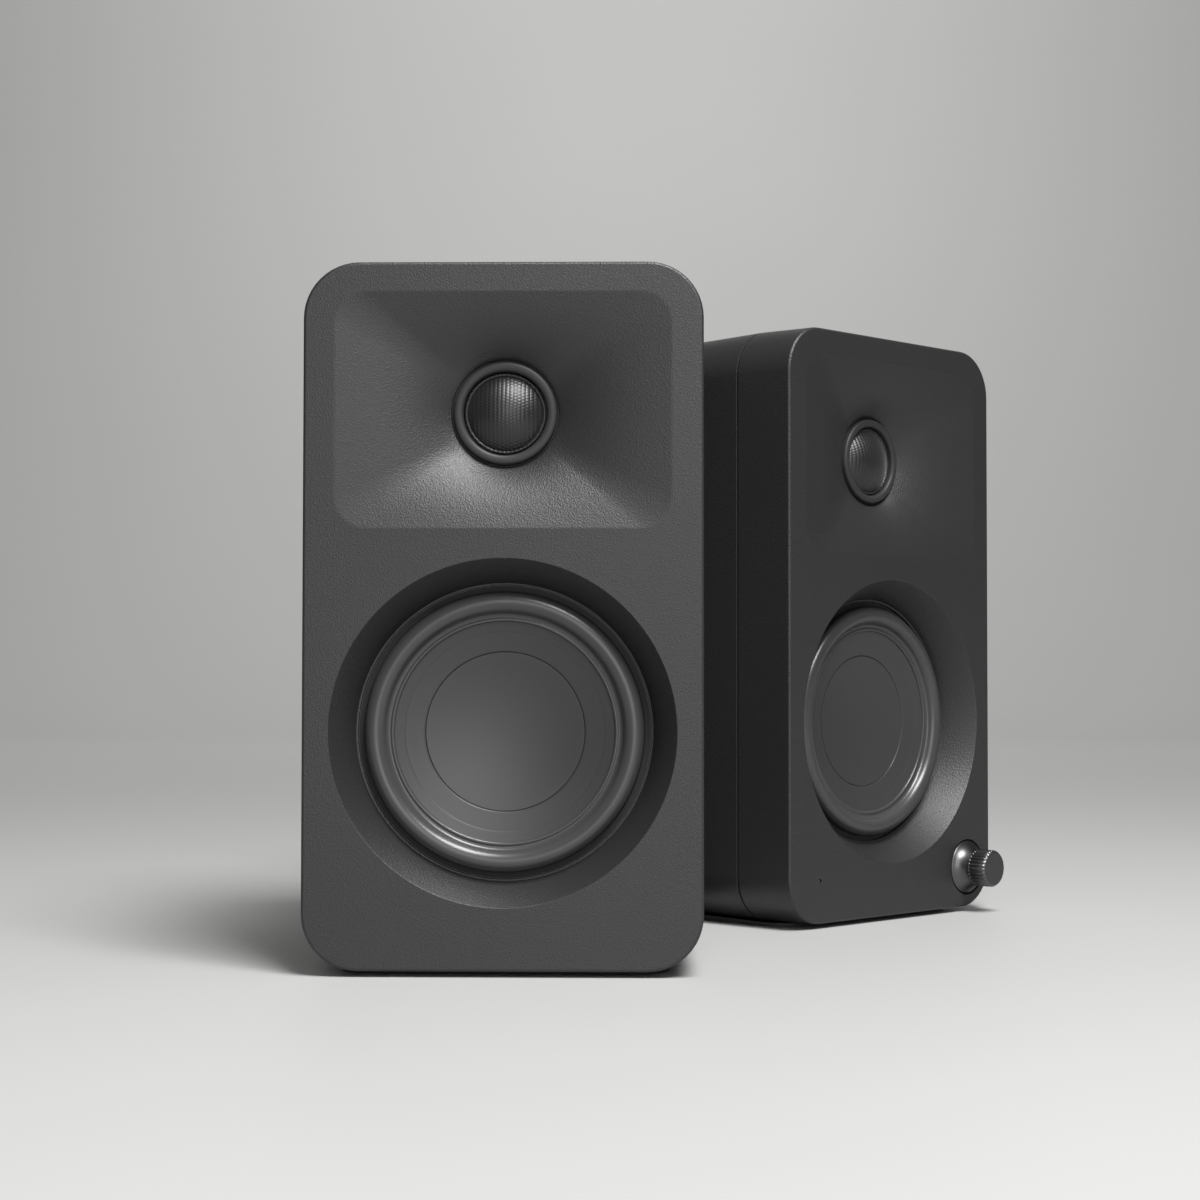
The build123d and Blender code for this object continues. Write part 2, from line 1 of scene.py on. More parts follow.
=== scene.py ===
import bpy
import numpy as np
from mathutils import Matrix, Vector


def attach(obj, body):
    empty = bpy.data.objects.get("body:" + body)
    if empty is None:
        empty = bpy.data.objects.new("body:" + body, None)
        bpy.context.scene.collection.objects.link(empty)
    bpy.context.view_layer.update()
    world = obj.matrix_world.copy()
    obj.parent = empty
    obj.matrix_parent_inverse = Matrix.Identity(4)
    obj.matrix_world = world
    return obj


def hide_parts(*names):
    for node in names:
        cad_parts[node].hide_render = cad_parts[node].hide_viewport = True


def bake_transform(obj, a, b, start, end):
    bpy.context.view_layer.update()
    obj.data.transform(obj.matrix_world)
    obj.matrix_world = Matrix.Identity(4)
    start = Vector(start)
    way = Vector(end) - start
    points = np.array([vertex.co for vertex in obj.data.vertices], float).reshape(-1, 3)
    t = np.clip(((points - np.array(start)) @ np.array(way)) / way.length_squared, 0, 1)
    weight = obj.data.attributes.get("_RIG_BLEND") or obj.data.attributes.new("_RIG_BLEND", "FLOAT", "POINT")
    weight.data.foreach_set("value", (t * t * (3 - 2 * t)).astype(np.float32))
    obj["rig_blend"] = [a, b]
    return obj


bl_info = {
    "name": "Desktop speaker pair",
    "version": (1, 0, 0),
    "blender": (4, 5, 0),
    "location": "3D View > Sidebar > Speakers",
    "description": "Builds the pieces, the materials and the stage of a pair of compact desktop speakers",
    "category": "Add Mesh",
}

from cmath import exp, phase
from math import copysign, cos, hypot, pi, radians, sin, sqrt, tan
from types import SimpleNamespace

import bmesh
import bpy
from bpy.props import FloatProperty, FloatVectorProperty, PointerProperty
from mathutils import Matrix, Vector

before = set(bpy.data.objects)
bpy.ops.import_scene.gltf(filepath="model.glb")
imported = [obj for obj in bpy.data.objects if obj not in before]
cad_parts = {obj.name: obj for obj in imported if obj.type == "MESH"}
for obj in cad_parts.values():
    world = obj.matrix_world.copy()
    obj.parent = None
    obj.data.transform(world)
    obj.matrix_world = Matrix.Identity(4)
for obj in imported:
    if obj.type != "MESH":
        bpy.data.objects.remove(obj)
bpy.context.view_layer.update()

# Pieces are drawn in each cabinet's own millimetres: sideways from its middle, back from its face, and up
# from the face's lower edge. The last step of every piece sets it down in metres where its cabinet stands.
MM = 0.001
SIDES = ("passive", "active")
LOCAL = "cabinet_mm"          # attribute that keeps a point's place on its cabinet, for patterns

# Places on the cabinets, sideways and up, in those millimetres.
LINK_AT = {"passive": (0.0, 52.0), "active": (-18.0, 37.0)}
PANEL = {"passive": (46.0, 34.0, 52.0), "active": (66.0, 58.0, 52.0)}      # width, height and middle
PHONO_AT = ((-21.0, 66.0), (-7.0, 66.0))
PHONO_BODY_AT = (-14.0, 66.0)
USB_AT = (20.0, 68.0)
POWER_AT = (18.0, 37.0)
SWAP_AT = (20.0, 54.0)
SWAP_TRAVEL = 3.0
LAMP_AT = (-36.0, 12.6)
SOCKET_BODY_FRONT = 114.8      # depth at which the sockets' bodies begin
CASE_SCREW_SEAT = 22.6
WOOFER_SCREW_SEAT = 14.4
TWEETER_SCREW_SEAT = 20.0


# ---- sizes and colours ------------------------------------------------------------------------------
def length(name, description, default):
    """Length property, kept in metres."""
    return FloatProperty(name=name, description=description, default=default, min=0.0, unit="LENGTH",
                         precision=5)


def colour(name, description, default):
    """Linear colour property."""
    return FloatVectorProperty(name=name, description=description, default=default, size=3, min=0.0, max=1.0,
                               subtype="COLOR")


class SpeakerSizes(bpy.types.PropertyGroup):
    """Sizes of the visible pieces"""
    width: length("Width", "Front face, side to side", 0.100)
    height: length("Height", "Front face, bottom to top", 0.1766)
    depth: length("Depth", "Front face to back face", 0.131)
    corner: length("Corner radius", "Rounding of the cabinet's upright section", 0.014)
    edge: length("Front edge", "Softened edge round the front face", 0.0008)
    back_edge: length("Back edge", "Rounding round the back face", 0.012)
    draft: FloatProperty(name="Draft", description="Lean of the walls away from the seam",
                         default=radians(1.2), subtype="ANGLE")
    seam: length("Seam depth", "Where the front moulding ends", 0.0196)
    gap: length("Seam gap", "Width of the parting line", 0.0005)
    pad: length("Base pad", "Thickness of the rubber sheet under the front edge", 0.0015)
    apart_x: length("Active cabinet, sideways", "Middle of its base from the passive one's", 0.0639)
    apart_y: length("Active cabinet, back", "Middle of its base from the passive one's", 0.1161)
    turn: FloatProperty(name="Turn", description="How far the active cabinet is turned out",
                        default=radians(46.8), subtype="ANGLE")
    horn_width: length("Waveguide width", "Mouth of the waveguide", 0.0842)
    horn_height: length("Waveguide height", "Mouth of the waveguide", 0.0593)
    horn_corner: length("Waveguide corners", "Rounding of the mouth's corners", 0.008)
    horn_depth: length("Waveguide depth", "From the face to the throat", 0.0096)
    throat: length("Throat radius", "Opening round the tweeter", 0.0137)
    tweeter_up: length("Tweeter height", "Height of the tweeter's axis", 0.1396)
    woofer_up: length("Woofer height", "Height of the woofer's axis", 0.0591)
    rim: length("Recess rim", "Radius of the woofer's recess at the face", 0.0434)
    ledge: length("Recess foot", "Radius of the recess at its foot", 0.0376)
    ledge_depth: length("Recess depth", "From the face to the recess's foot", 0.0105)
    dish: length("Dish radius", "Sphere that cone and cap share", 0.086)
    dish_depth: length("Dish depth", "Depth of the dish's middle", 0.0147)
    cap: length("Dust cap", "Radius of the cap's seam", 0.0201)
    knob_u: length("Knob, sideways", "Knob from the cabinet's middle", 0.038)
    knob_up: length("Knob height", "Height of the knob's axis", 0.0125)
    knob_out: length("Knob length", "How far the knob stands out", 0.0103)
    port_up: length("Port height", "Height of the bass port's axis", 0.132)
    port: length("Port radius", "Bore of the bass port", 0.014)


class SpeakerColours(bpy.types.PropertyGroup):
    """Colours of the finishes"""
    shell: colour("Cabinet", "Moulded cabinet plastic", (0.017, 0.017, 0.017))
    rubber: colour("Surround", "Rubber of the half-roll surround", (0.040, 0.040, 0.040))
    cone: colour("Cone", "Woofer cone and cap", (0.030, 0.030, 0.030))
    silk: colour("Dome", "Coated silk of the tweeter", (0.009, 0.009, 0.0095))
    trim: colour("Tweeter ring", "Ring round the tweeter", (0.024, 0.024, 0.025))
    knob: colour("Knob", "Anodised knob", (0.135, 0.135, 0.137))
    floor: colour("Floor", "Studio floor", (0.42, 0.42, 0.415))


def sizes():
    """All sizes, with lengths in millimetres and angles in radians."""
    settings = bpy.context.scene.speaker_sizes
    values = {}
    for key in SpeakerSizes.__annotations__:
        value = getattr(settings, key)
        values[key] = value if key in ("draft", "turn") else value / MM
    s = SimpleNamespace(**values)
    s.slope = tan(s.draft)
    s.middle = s.height / 2
    s.rear_start = s.seam + s.gap
    s.seam_width = s.width + 2 * s.seam * s.slope
    s.seam_height = s.height + 2 * s.seam * s.slope
    s.seam_corner = s.corner + s.seam * s.slope
    return s


def placing(side):
    """Matrix from a cabinet's own millimetres to the shared frame in metres."""
    s = sizes()
    drawn = Matrix.Translation((0, -s.depth * MM / 2, s.pad * MM)) @ Matrix.Scale(MM, 4)
    if side == "passive":
        return drawn
    stand = Matrix.Translation((s.apart_x * MM, s.apart_y * MM, 0)) @ Matrix.Rotation(s.turn, 4, "Z")
    return stand @ drawn


# ---- mesh helpers -------------------------------------------------------------------------------------
def new_edges(bm, before):
    return [edge for edge in bm.edges if edge not in before]


def face_frame(depth, height, u=0.0, wide=1.0, tall=1.0):
    """Matrix that lays a flat shape parallel to the front face."""
    return Matrix(((wide, 0, 0, u), (0, 0, 1, depth), (0, tall, 0, height), (0, 0, 0, 1)))


def outline(bm, wide, tall, radius, depth, height, u=0.0, segments=12, flat_cuts=0):
    """Loop of edges in the shape of a rounded rectangle, parallel to the face."""
    before = set(bm.edges)
    grid = bmesh.ops.create_grid(bm, x_segments=1, y_segments=1, size=0.5,
                                 matrix=face_frame(depth, height, u, wide, tall))
    bmesh.ops.bevel(bm, geom=grid["verts"], offset=radius, offset_type="OFFSET", segments=segments,
                    profile=0.5, affect="VERTICES", material=-1)
    loop = new_edges(bm, before)
    faces = list({face for edge in loop for face in edge.link_faces})
    bmesh.ops.delete(bm, geom=faces, context="FACES_ONLY")
    if flat_cuts:
        straight = [edge for edge in loop if edge.calc_length() > 4 * radius]
        bmesh.ops.subdivide_edges(bm, edges=straight, cuts=flat_cuts)
        loop = new_edges(bm, before)
    return loop


def circle(bm, radius, depth, height, u=0.0, segments=64):
    """Loop of edges in the shape of a circle, parallel to the face."""
    before = set(bm.edges)
    bmesh.ops.create_circle(bm, cap_ends=False, segments=segments, radius=radius,
                            matrix=face_frame(depth, height, u))
    return new_edges(bm, before)


def bridge(bm, *loops):
    """Walls from each loop to the next."""
    for one, other in zip(loops, loops[1:]):
        bmesh.ops.bridge_loops(bm, edges=one + other)


def fill(bm, *loops):
    """Flat face inside the first loop, with the other loops left open."""
    edges = [edge for loop in loops for edge in loop]
    bmesh.ops.triangle_fill(bm, use_beauty=True, use_dissolve=False, edges=edges)


def arc(start, middle, end, steps=8):
    """Points on the circle through three points, both ends included."""
    a, b, c = complex(*start), complex(*middle), complex(*end)
    w = (c - a) / (b - a)
    centre = a - (a - b) * (w - abs(w) ** 2) / (2j * w.imag)
    half, turn = phase((b - centre) / (a - centre)), phase((c - centre) / (a - centre))
    if half * turn < 0 or abs(half) > abs(turn):
        turn -= copysign(2 * pi, turn)
    points = [centre + (a - centre) * exp(1j * turn * i / steps) for i in range(steps + 1)]
    return [(p.real, p.imag) for p in points]


def spun(bm, profile, height, u=0.0, steps=96, closed=False):
    """Full turn of a (radius, depth) profile about a front-to-back axis; returns the new vertices."""
    before = set(bm.verts)
    verts = [bm.verts.new((u + radius, depth, height)) for radius, depth in profile]
    pairs = list(zip(verts, verts[1:])) + ([(verts[-1], verts[0])] if closed else [])
    edges = [bm.edges.new(pair) for pair in pairs]
    bmesh.ops.spin(bm, geom=verts + edges, cent=(u, 0, height), axis=(0, 1, 0), angle=2 * pi, steps=steps,
                   use_merge=True)
    return [vert for vert in bm.verts if vert not in before]


def rim_loop(bm, radius, depth, height, u=0.0):
    """The open loop of edges of a spun wall at one radius and depth."""
    def on_it(vert):
        return abs(vert.co.y - depth) < 1e-3 and abs(hypot(vert.co.x - u, vert.co.z - height) - radius) < 1e-3
    return [edge for edge in bm.edges if edge.is_boundary and all(on_it(vert) for vert in edge.verts)]


def box(bm, wide, deep, tall, u, depth, height, soft=0.0):
    """Block with its front at a depth, and softened edges."""
    before = set(bm.edges)
    bmesh.ops.create_cube(bm, size=1.0, matrix=Matrix.Translation((u, depth + deep / 2, height))
                          @ Matrix.Diagonal((wide, deep, tall, 1)))
    if soft:
        bmesh.ops.bevel(bm, geom=new_edges(bm, before), offset=soft, offset_type="OFFSET", segments=3,
                        profile=0.5, affect="EDGES", material=-1)


def named(name):
    return bpy.data.materials[name]


def drawn_on(drawn):
    """New vertices of an extrusion, and the new edges between them."""
    verts = [item for item in drawn if isinstance(item, bmesh.types.BMVert)]
    edges = [item for item in drawn
             if isinstance(item, bmesh.types.BMEdge) and all(vert in verts for vert in item.verts)]
    return verts, edges


def behind(start, points):
    """Profile points whose depths are measured from a starting depth."""
    return [(radius, start + depth) for radius, depth in points]


def settle(bm, name, side, body, surface, nodes=(), facing=None, sharp=32.0):
    """Turn a finished bmesh into a piece on its cabinet, riding on a body and standing for CAD nodes."""
    bmesh.ops.remove_doubles(bm, verts=bm.verts, dist=2e-4)
    bmesh.ops.dissolve_degenerate(bm, dist=1e-4, edges=bm.edges)
    bmesh.ops.recalc_face_normals(bm, faces=bm.faces)
    if facing is not None:
        total = Vector()
        for face in bm.faces:
            total += face.normal * face.calc_area()
        if total.dot(Vector(facing)) < 0:
            bmesh.ops.reverse_faces(bm, faces=bm.faces)
    layer = bm.verts.layers.float_vector.new(LOCAL)
    for vert in bm.verts:
        vert[layer] = vert.co
    bm.transform(placing(side))
    mesh = bpy.data.meshes.new(name)
    bm.to_mesh(mesh)
    bm.free()
    mesh.shade_smooth()
    mesh.set_sharp_from_angle(angle=radians(sharp))
    mesh.materials.append(named(surface))
    piece = bpy.data.objects.new(name, mesh)
    bpy.context.scene.collection.objects.link(piece)
    even = piece.modifiers.new("Even shading", "WEIGHTED_NORMAL")
    even.keep_sharp = True
    if body:
        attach(piece, body)
    if nodes:
        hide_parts(*nodes)
    return piece


# ---- material helpers ---------------------------------------------------------------------------------
def node(tree, kind, options=None, **inputs):
    """Add a node; inputs are named with _ for a space, and take a value or another node's socket."""
    made = tree.nodes.new(kind)
    for key, value in (options or {}).items():
        setattr(made, key, value)
    for key, value in inputs.items():
        socket = made.inputs[key.replace("_", " ")]
        if isinstance(value, bpy.types.NodeSocket):
            tree.links.new(value, socket)
        else:
            socket.default_value = value
    return made


def maths(tree, operation, *values):
    made = tree.nodes.new("ShaderNodeMath")
    made.operation = operation
    for socket, value in zip(made.inputs, values):
        if isinstance(value, bpy.types.NodeSocket):
            tree.links.new(value, socket)
        else:
            socket.default_value = value
    return made.outputs[0]


def group(name, inputs, outputs):
    """Empty shader group with named number inputs (or a vector) and number outputs."""
    tree = bpy.data.node_groups.new(name, "ShaderNodeTree")
    for key, default in inputs.items():
        kind = "NodeSocketVector" if default is None else "NodeSocketFloat"
        socket = tree.interface.new_socket(name=key, in_out="INPUT", socket_type=kind)
        if default is not None:
            socket.default_value = default
    for key in outputs:
        tree.interface.new_socket(name=key, in_out="OUTPUT", socket_type="NodeSocketFloat")
    return tree, tree.nodes.new("NodeGroupInput").outputs, tree.nodes.new("NodeGroupOutput").inputs


def grain_group():
    """Spark-eroded grain of moulded parts: a fine pebbled height and a slow drift in tone."""
    tree, given, out = group("Moulded grain", {"Place": None, "Scale": 2400.0, "Drift": 9.0},
                             ("Height", "Tone"))
    pebble = node(tree, "ShaderNodeTexVoronoi", {"feature": "SMOOTH_F1"}, Vector=given["Place"],
                  Scale=given["Scale"])
    fine = node(tree, "ShaderNodeTexNoise", Vector=given["Place"],
                Scale=maths(tree, "MULTIPLY", given["Scale"], 1.7), Detail=2.0)
    height = maths(tree, "ADD", maths(tree, "MULTIPLY", pebble.outputs["Distance"], 0.6),
                   maths(tree, "MULTIPLY", fine.outputs[0], 0.8))
    slow = node(tree, "ShaderNodeTexNoise", Vector=given["Place"], Scale=given["Drift"], Detail=3.0)
    tree.links.new(height, out["Height"])
    tree.links.new(slow.outputs[0], out["Tone"])
    return tree


def dust_group():
    """Light dust on what faces up, and fingermarks as broad smooth patches."""
    tree, given, out = group("Dust and handling", {"Place": None, "Amount": 0.5}, ("Dust", "Marks"))
    facing = node(tree, "ShaderNodeNewGeometry")
    up = node(tree, "ShaderNodeSeparateXYZ", Vector=facing.outputs["Normal"]).outputs["Z"]
    specks = node(tree, "ShaderNodeTexNoise", Vector=given["Place"], Scale=1400.0, Detail=4.0, Roughness=0.7)
    lying = node(tree, "ShaderNodeMapRange", Value=up, From_Min=0.35, From_Max=1.0, To_Min=0.0, To_Max=1.0)
    fleck = node(tree, "ShaderNodeMapRange", Value=specks.outputs[0], From_Min=0.5, From_Max=0.78)
    settled = maths(tree, "MULTIPLY", lying.outputs[0], fleck.outputs[0])
    dust = maths(tree, "MULTIPLY", settled, given["Amount"])
    patch = node(tree, "ShaderNodeTexNoise", Vector=given["Place"], Scale=38.0, Detail=5.0, Roughness=0.55,
                 Distortion=0.6)
    marks = node(tree, "ShaderNodeMapRange", Value=patch.outputs[0], From_Min=0.42, From_Max=0.72)
    tree.links.new(dust, out["Dust"])
    tree.links.new(maths(tree, "MULTIPLY", marks.outputs[0], given["Amount"]), out["Marks"])
    return tree


def weave_group():
    """Plain weave over one plane: two crossed sets of threads that pass over and under."""
    tree, given, out = group("Woven threads", {"Across": 0.0, "Along": 0.0, "Pitch": 0.5, "Crimp": 0.5},
                             ("Height", "Gap"))

    def wave(way):
        turns = maths(tree, "DIVIDE", given[way], given["Pitch"])
        return maths(tree, "SINE", maths(tree, "MULTIPLY", turns, 2 * pi))

    over, under = wave("Across"), wave("Along")
    cross = maths(tree, "MULTIPLY", maths(tree, "MULTIPLY", over, under), given["Crimp"])
    ridge = maths(tree, "ABSOLUTE", over)
    height = maths(tree, "ADD", maths(tree, "MULTIPLY", ridge, 0.6), cross)
    tree.links.new(height, out["Height"])
    tree.links.new(maths(tree, "SUBTRACT", 1.0, ridge), out["Gap"])
    return tree


def turned_group():
    """Fine rings left by turning or moulding, round an axis."""
    tree, given, out = group("Turned rings", {"Across": 0.0, "Along": 0.0, "Pitch": 0.2},
                             ("Height", "Radius"))
    square = maths(tree, "ADD", maths(tree, "MULTIPLY", given["Across"], given["Across"]),
                   maths(tree, "MULTIPLY", given["Along"], given["Along"]))
    radius = maths(tree, "SQRT", square)
    rings = node(tree, "ShaderNodeTexNoise", {"noise_dimensions": "1D"},
                 W=maths(tree, "DIVIDE", radius, given["Pitch"]), Scale=1.0, Detail=3.0)
    tree.links.new(rings.outputs[0], out["Height"])
    tree.links.new(radius, out["Radius"])
    return tree


def wear_group():
    """Rubbed high spots of metal: broken patches of noise."""
    tree, given, out = group("Rubbed metal", {"Place": None, "Scale": 900.0, "Amount": 0.5}, ("Wear",))
    broken = node(tree, "ShaderNodeTexNoise", Vector=given["Place"], Scale=given["Scale"], Detail=6.0,
                  Roughness=0.65)
    mask = node(tree, "ShaderNodeMapRange", Value=broken.outputs[0], From_Min=0.48, From_Max=0.7)
    tree.links.new(maths(tree, "MULTIPLY", mask.outputs[0], given["Amount"]), out["Wear"])
    return tree


def place_of(tree):
    return node(tree, "ShaderNodeTexCoord").outputs["Object"]


def cabinet_place(tree, u=0.0, height=0.0):
    """Place on the cabinet in millimetres from an axis: sideways, and up."""
    kept = node(tree, "ShaderNodeAttribute", {"attribute_name": LOCAL}).outputs["Vector"]
    moved = node(tree, "ShaderNodeMapping", {"vector_type": "POINT"}, Vector=kept,
                 Location=(-u, 0.0, -height))
    apart = node(tree, "ShaderNodeSeparateXYZ", Vector=moved.outputs[0]).outputs
    return apart["X"], apart["Z"], moved.outputs[0]


def use(tree, name, **inputs):
    """Place a shared group in a material."""
    return node(tree, "ShaderNodeGroup", {"node_tree": bpy.data.node_groups[name]}, **inputs).outputs


def finish(name, base, roughness, metallic=0.0, **constants):
    """New material with a Principled shader; returns it with its tree and shader."""
    made = bpy.data.materials.new(name)
    made.use_nodes = True
    shader = made.node_tree.nodes["Principled BSDF"]
    shader.inputs["Base Color"].default_value = (*base, 1)
    shader.inputs["Roughness"].default_value = roughness
    shader.inputs["Metallic"].default_value = metallic
    for key, value in constants.items():
        shader.inputs[key.replace("_", " ")].default_value = value
    return made, made.node_tree, shader


def shade(tree, base, amount, mask, dust=None, dusty=(0.30, 0.29, 0.27)):
    """Base colour that drifts up and down with a mask, with dust laid over it."""
    low = (*(c * (1 - amount) for c in base), 1)
    high = (*(min(1.0, c * (1 + amount)) for c in base), 1)
    mixed = node(tree, "ShaderNodeMix", {"data_type": "RGBA"})
    mixed.inputs[6].default_value, mixed.inputs[7].default_value = low, high
    tree.links.new(mask, mixed.inputs[0])
    if dust is None:
        return mixed.outputs[2]
    laid = node(tree, "ShaderNodeMix", {"data_type": "RGBA"})
    tree.links.new(dust, laid.inputs[0])
    tree.links.new(mixed.outputs[2], laid.inputs[6])
    laid.inputs[7].default_value = (*dusty, 1)
    return laid.outputs[2]


def spread(tree, mask, low, high):
    """Roughness between two values as a mask goes from 0 to 1."""
    return node(tree, "ShaderNodeMapRange", Value=mask, To_Min=low, To_Max=high).outputs[0]


def raise_from(tree, shader, height, strength, distance):
    bumped = node(tree, "ShaderNodeBump", Strength=strength, Distance=distance, Height=height)
    tree.links.new(bumped.outputs[0], shader.inputs["Normal"])


# ---- finishes -----------------------------------------------------------------------------------------
def moulded(name, base, low, high, grain=2400.0, relief=0.25, dust=0.12, drift=0.07, **constants):
    """Moulded plastic or rubber: fine grain, a slow drift in tone, dust and fingermarks."""
    made, tree, shader = finish(name, base, high, **constants)
    where = place_of(tree)
    grained = use(tree, "Moulded grain", Place=where, Scale=grain)
    handled = use(tree, "Dust and handling", Place=where, Amount=dust)
    tree.links.new(shade(tree, base, drift, grained["Tone"], handled["Dust"]), shader.inputs["Base Color"])
    rubbed = maths(tree, "MULTIPLY", handled["Marks"], -0.25)
    rough = maths(tree, "ADD", spread(tree, grained["Tone"], low, high), rubbed)
    tree.links.new(rough, shader.inputs["Roughness"])
    raise_from(tree, shader, grained["Height"], relief, 0.00012)
    return made


def round_polymer(name, base, low, high, height, pitch=0.22, relief=0.2, drift=0.08, **constants):
    """Polymer of a cone or ring, with faint rings round its axis under a fine grain."""
    made, tree, shader = finish(name, base, high, **constants)
    across, along, whole = cabinet_place(tree, 0.0, height)
    rings = use(tree, "Turned rings", Across=across, Along=along, Pitch=pitch)
    grained = use(tree, "Moulded grain", Place=whole, Scale=2.6, Drift=0.03)
    tree.links.new(shade(tree, base, drift, grained["Tone"]), shader.inputs["Base Color"])
    tree.links.new(spread(tree, rings["Height"], low, high), shader.inputs["Roughness"])
    both = maths(tree, "ADD", maths(tree, "MULTIPLY", rings["Height"], 0.5),
                 maths(tree, "MULTIPLY", grained["Height"], 0.4))
    raise_from(tree, shader, both, relief, 0.00008)
    return made


def metal(name, base, low, high, wear=0.3, scale=700.0, worn=1.35, relief=0.08):
    """Metal with fine scratches and rubbed high spots."""
    made, tree, shader = finish(name, base, high, metallic=1.0)
    where = place_of(tree)
    rubbed = use(tree, "Rubbed metal", Place=where, Scale=scale, Amount=wear)
    drawn = node(tree, "ShaderNodeMapping", Vector=where, Scale=(1.0, 1.0, 14.0))
    fine = use(tree, "Moulded grain", Place=drawn.outputs[0], Scale=900.0)
    tree.links.new(shade(tree, base, worn - 1.0, rubbed["Wear"]), shader.inputs["Base Color"])
    tree.links.new(spread(tree, fine["Tone"], low, high), shader.inputs["Roughness"])
    raise_from(tree, shader, fine["Height"], relief, 0.00005)
    return made


def surround_finish(name, base, height):
    """Satin rubber of the half-roll with moulding rings, matt on the clamped flange, where painted shade
    darkens it.
    """
    made, tree, shader = finish(name, base, 0.3)
    across, along, whole = cabinet_place(tree, 0.0, height)
    rings = use(tree, "Turned rings", Across=across, Along=along, Pitch=0.5)
    grained = use(tree, "Moulded grain", Place=whole, Scale=2.8, Drift=0.05)
    # Mask of the flange past 35.05 to 35.35 mm: painted shade darkens its colour to stand for the groove's
    # shadow, and it is made matt.
    painted_shade_flange = node(tree, "ShaderNodeMapRange", Value=rings["Radius"], From_Min=35.05,
                   From_Max=35.35).outputs[0]
    painted_shade_mix = node(tree, "ShaderNodeMix", {"data_type": "RGBA"})
    tree.links.new(painted_shade_flange, painted_shade_mix.inputs[0])
    tree.links.new(shade(tree, base, 0.08, grained["Tone"]), painted_shade_mix.inputs[6])
    # Painted shade: the flange at 12 per cent of the rubber's colour.
    painted_shade_mix.inputs[7].default_value = (*(c * 0.12 for c in base), 1)
    tree.links.new(painted_shade_mix.outputs[2], shader.inputs["Base Color"])
    rough = maths(tree, "ADD", spread(tree, grained["Tone"], 0.25, 0.33),
                  maths(tree, "MULTIPLY", painted_shade_flange, 0.45))
    tree.links.new(rough, shader.inputs["Roughness"])
    raise_from(tree, shader, grained["Height"], 0.1, 0.00006)
    return made


def silk_finish(name, base, height):
    """Coated silk: upright ribs of thread under a thin gloss coat."""
    made, tree, shader = finish(name, base, 0.42, Sheen_Weight=0.12, Sheen_Roughness=0.4)
    across, along, whole = cabinet_place(tree, 0.0, height)
    threads = use(tree, "Woven threads", Across=across, Along=maths(tree, "MULTIPLY", along, 2.6), Pitch=2.1,
                  Crimp=0.22)
    grained = use(tree, "Moulded grain", Place=whole, Scale=3.5, Drift=0.2)
    tree.links.new(shade(tree, base, 0.35, threads["Height"]), shader.inputs["Base Color"])
    tree.links.new(spread(tree, grained["Tone"], 0.3, 0.45), shader.inputs["Roughness"])
    raise_from(tree, shader, threads["Height"], 0.5, 0.00016)
    return made


def knob_finish(name, base, u, height):
    """Anodised aluminium with turning rings on its flat end and a soft matt surface elsewhere."""
    made, tree, shader = finish(name, base, 0.36, metallic=1.0)
    across, along, whole = cabinet_place(tree, u, height)
    rings = use(tree, "Turned rings", Across=across, Along=along, Pitch=0.12)
    rubbed = use(tree, "Rubbed metal", Place=whole, Scale=0.9, Amount=0.25)
    tree.links.new(shade(tree, base, 0.18, rubbed["Wear"]), shader.inputs["Base Color"])
    tree.links.new(spread(tree, rings["Height"], 0.30, 0.42), shader.inputs["Roughness"])
    raise_from(tree, shader, rings["Height"], 0.2, 0.00004)
    return made


def printed_board(name):
    """Circuit board: green mask over paler copper runs."""
    made, tree, shader = finish(name, (0.02, 0.11, 0.05), 0.35)
    where = place_of(tree)
    runs = node(tree, "ShaderNodeTexBrick", {"offset": 0.5}, Vector=where, Color1=(0.02, 0.12, 0.05, 1),
                Color2=(0.015, 0.09, 0.04, 1), Mortar=(0.04, 0.20, 0.09, 1), Scale=160.0, Mortar_Size=0.03)
    grained = use(tree, "Moulded grain", Place=where, Scale=1800.0)
    tree.links.new(runs.outputs["Color"], shader.inputs["Base Color"])
    tree.links.new(spread(tree, grained["Tone"], 0.28, 0.42), shader.inputs["Roughness"])
    raise_from(tree, shader, runs.outputs["Fac"], 0.2, 0.00005)
    return made


def spider_finish(name):
    """Treated cotton of the spider."""
    made, tree, shader = finish(name, (0.42, 0.28, 0.09), 0.8)
    apart = node(tree, "ShaderNodeSeparateXYZ", Vector=place_of(tree)).outputs
    threads = use(tree, "Woven threads", Across=apart["X"], Along=apart["Z"], Pitch=0.0007, Crimp=0.6)
    tree.links.new(shade(tree, (0.42, 0.28, 0.09), 0.3, threads["Height"]), shader.inputs["Base Color"])
    tree.links.new(spread(tree, threads["Gap"], 0.7, 0.9), shader.inputs["Roughness"])
    raise_from(tree, shader, threads["Height"], 0.4, 0.0001)
    return made


def floor_finish(name, base):
    """Pale matt studio floor with a barely visible unevenness."""
    made, tree, shader = finish(name, base, 0.55)
    where = place_of(tree)
    slow = node(tree, "ShaderNodeTexNoise", Vector=where, Scale=3.0, Detail=4.0)
    tree.links.new(shade(tree, base, 0.012, slow.outputs[0]), shader.inputs["Base Color"])
    tree.links.new(spread(tree, slow.outputs[0], 0.5, 0.6), shader.inputs["Roughness"])
    return made


# ---- cabinet pieces -------------------------------------------------------------------------------------
def case_screw_places():
    return [(u * way, up) for u, up in ((22.0, 17.0), (33.0, 103.0), (33.0, 160.0)) for way in (-1, 1)]


def ring_places(count, radius, first):
    angles = [first + 2 * pi * i / count for i in range(count)]
    return [(radius * cos(angle), radius * sin(angle)) for angle in angles]


def panel_screw_places(side):
    wide, tall, up = PANEL[side]
    return [(a * (wide / 2 - 3.6), up + b * (tall / 2 - 3.6)) for a in (-1, 1) for b in (-1, 1)]


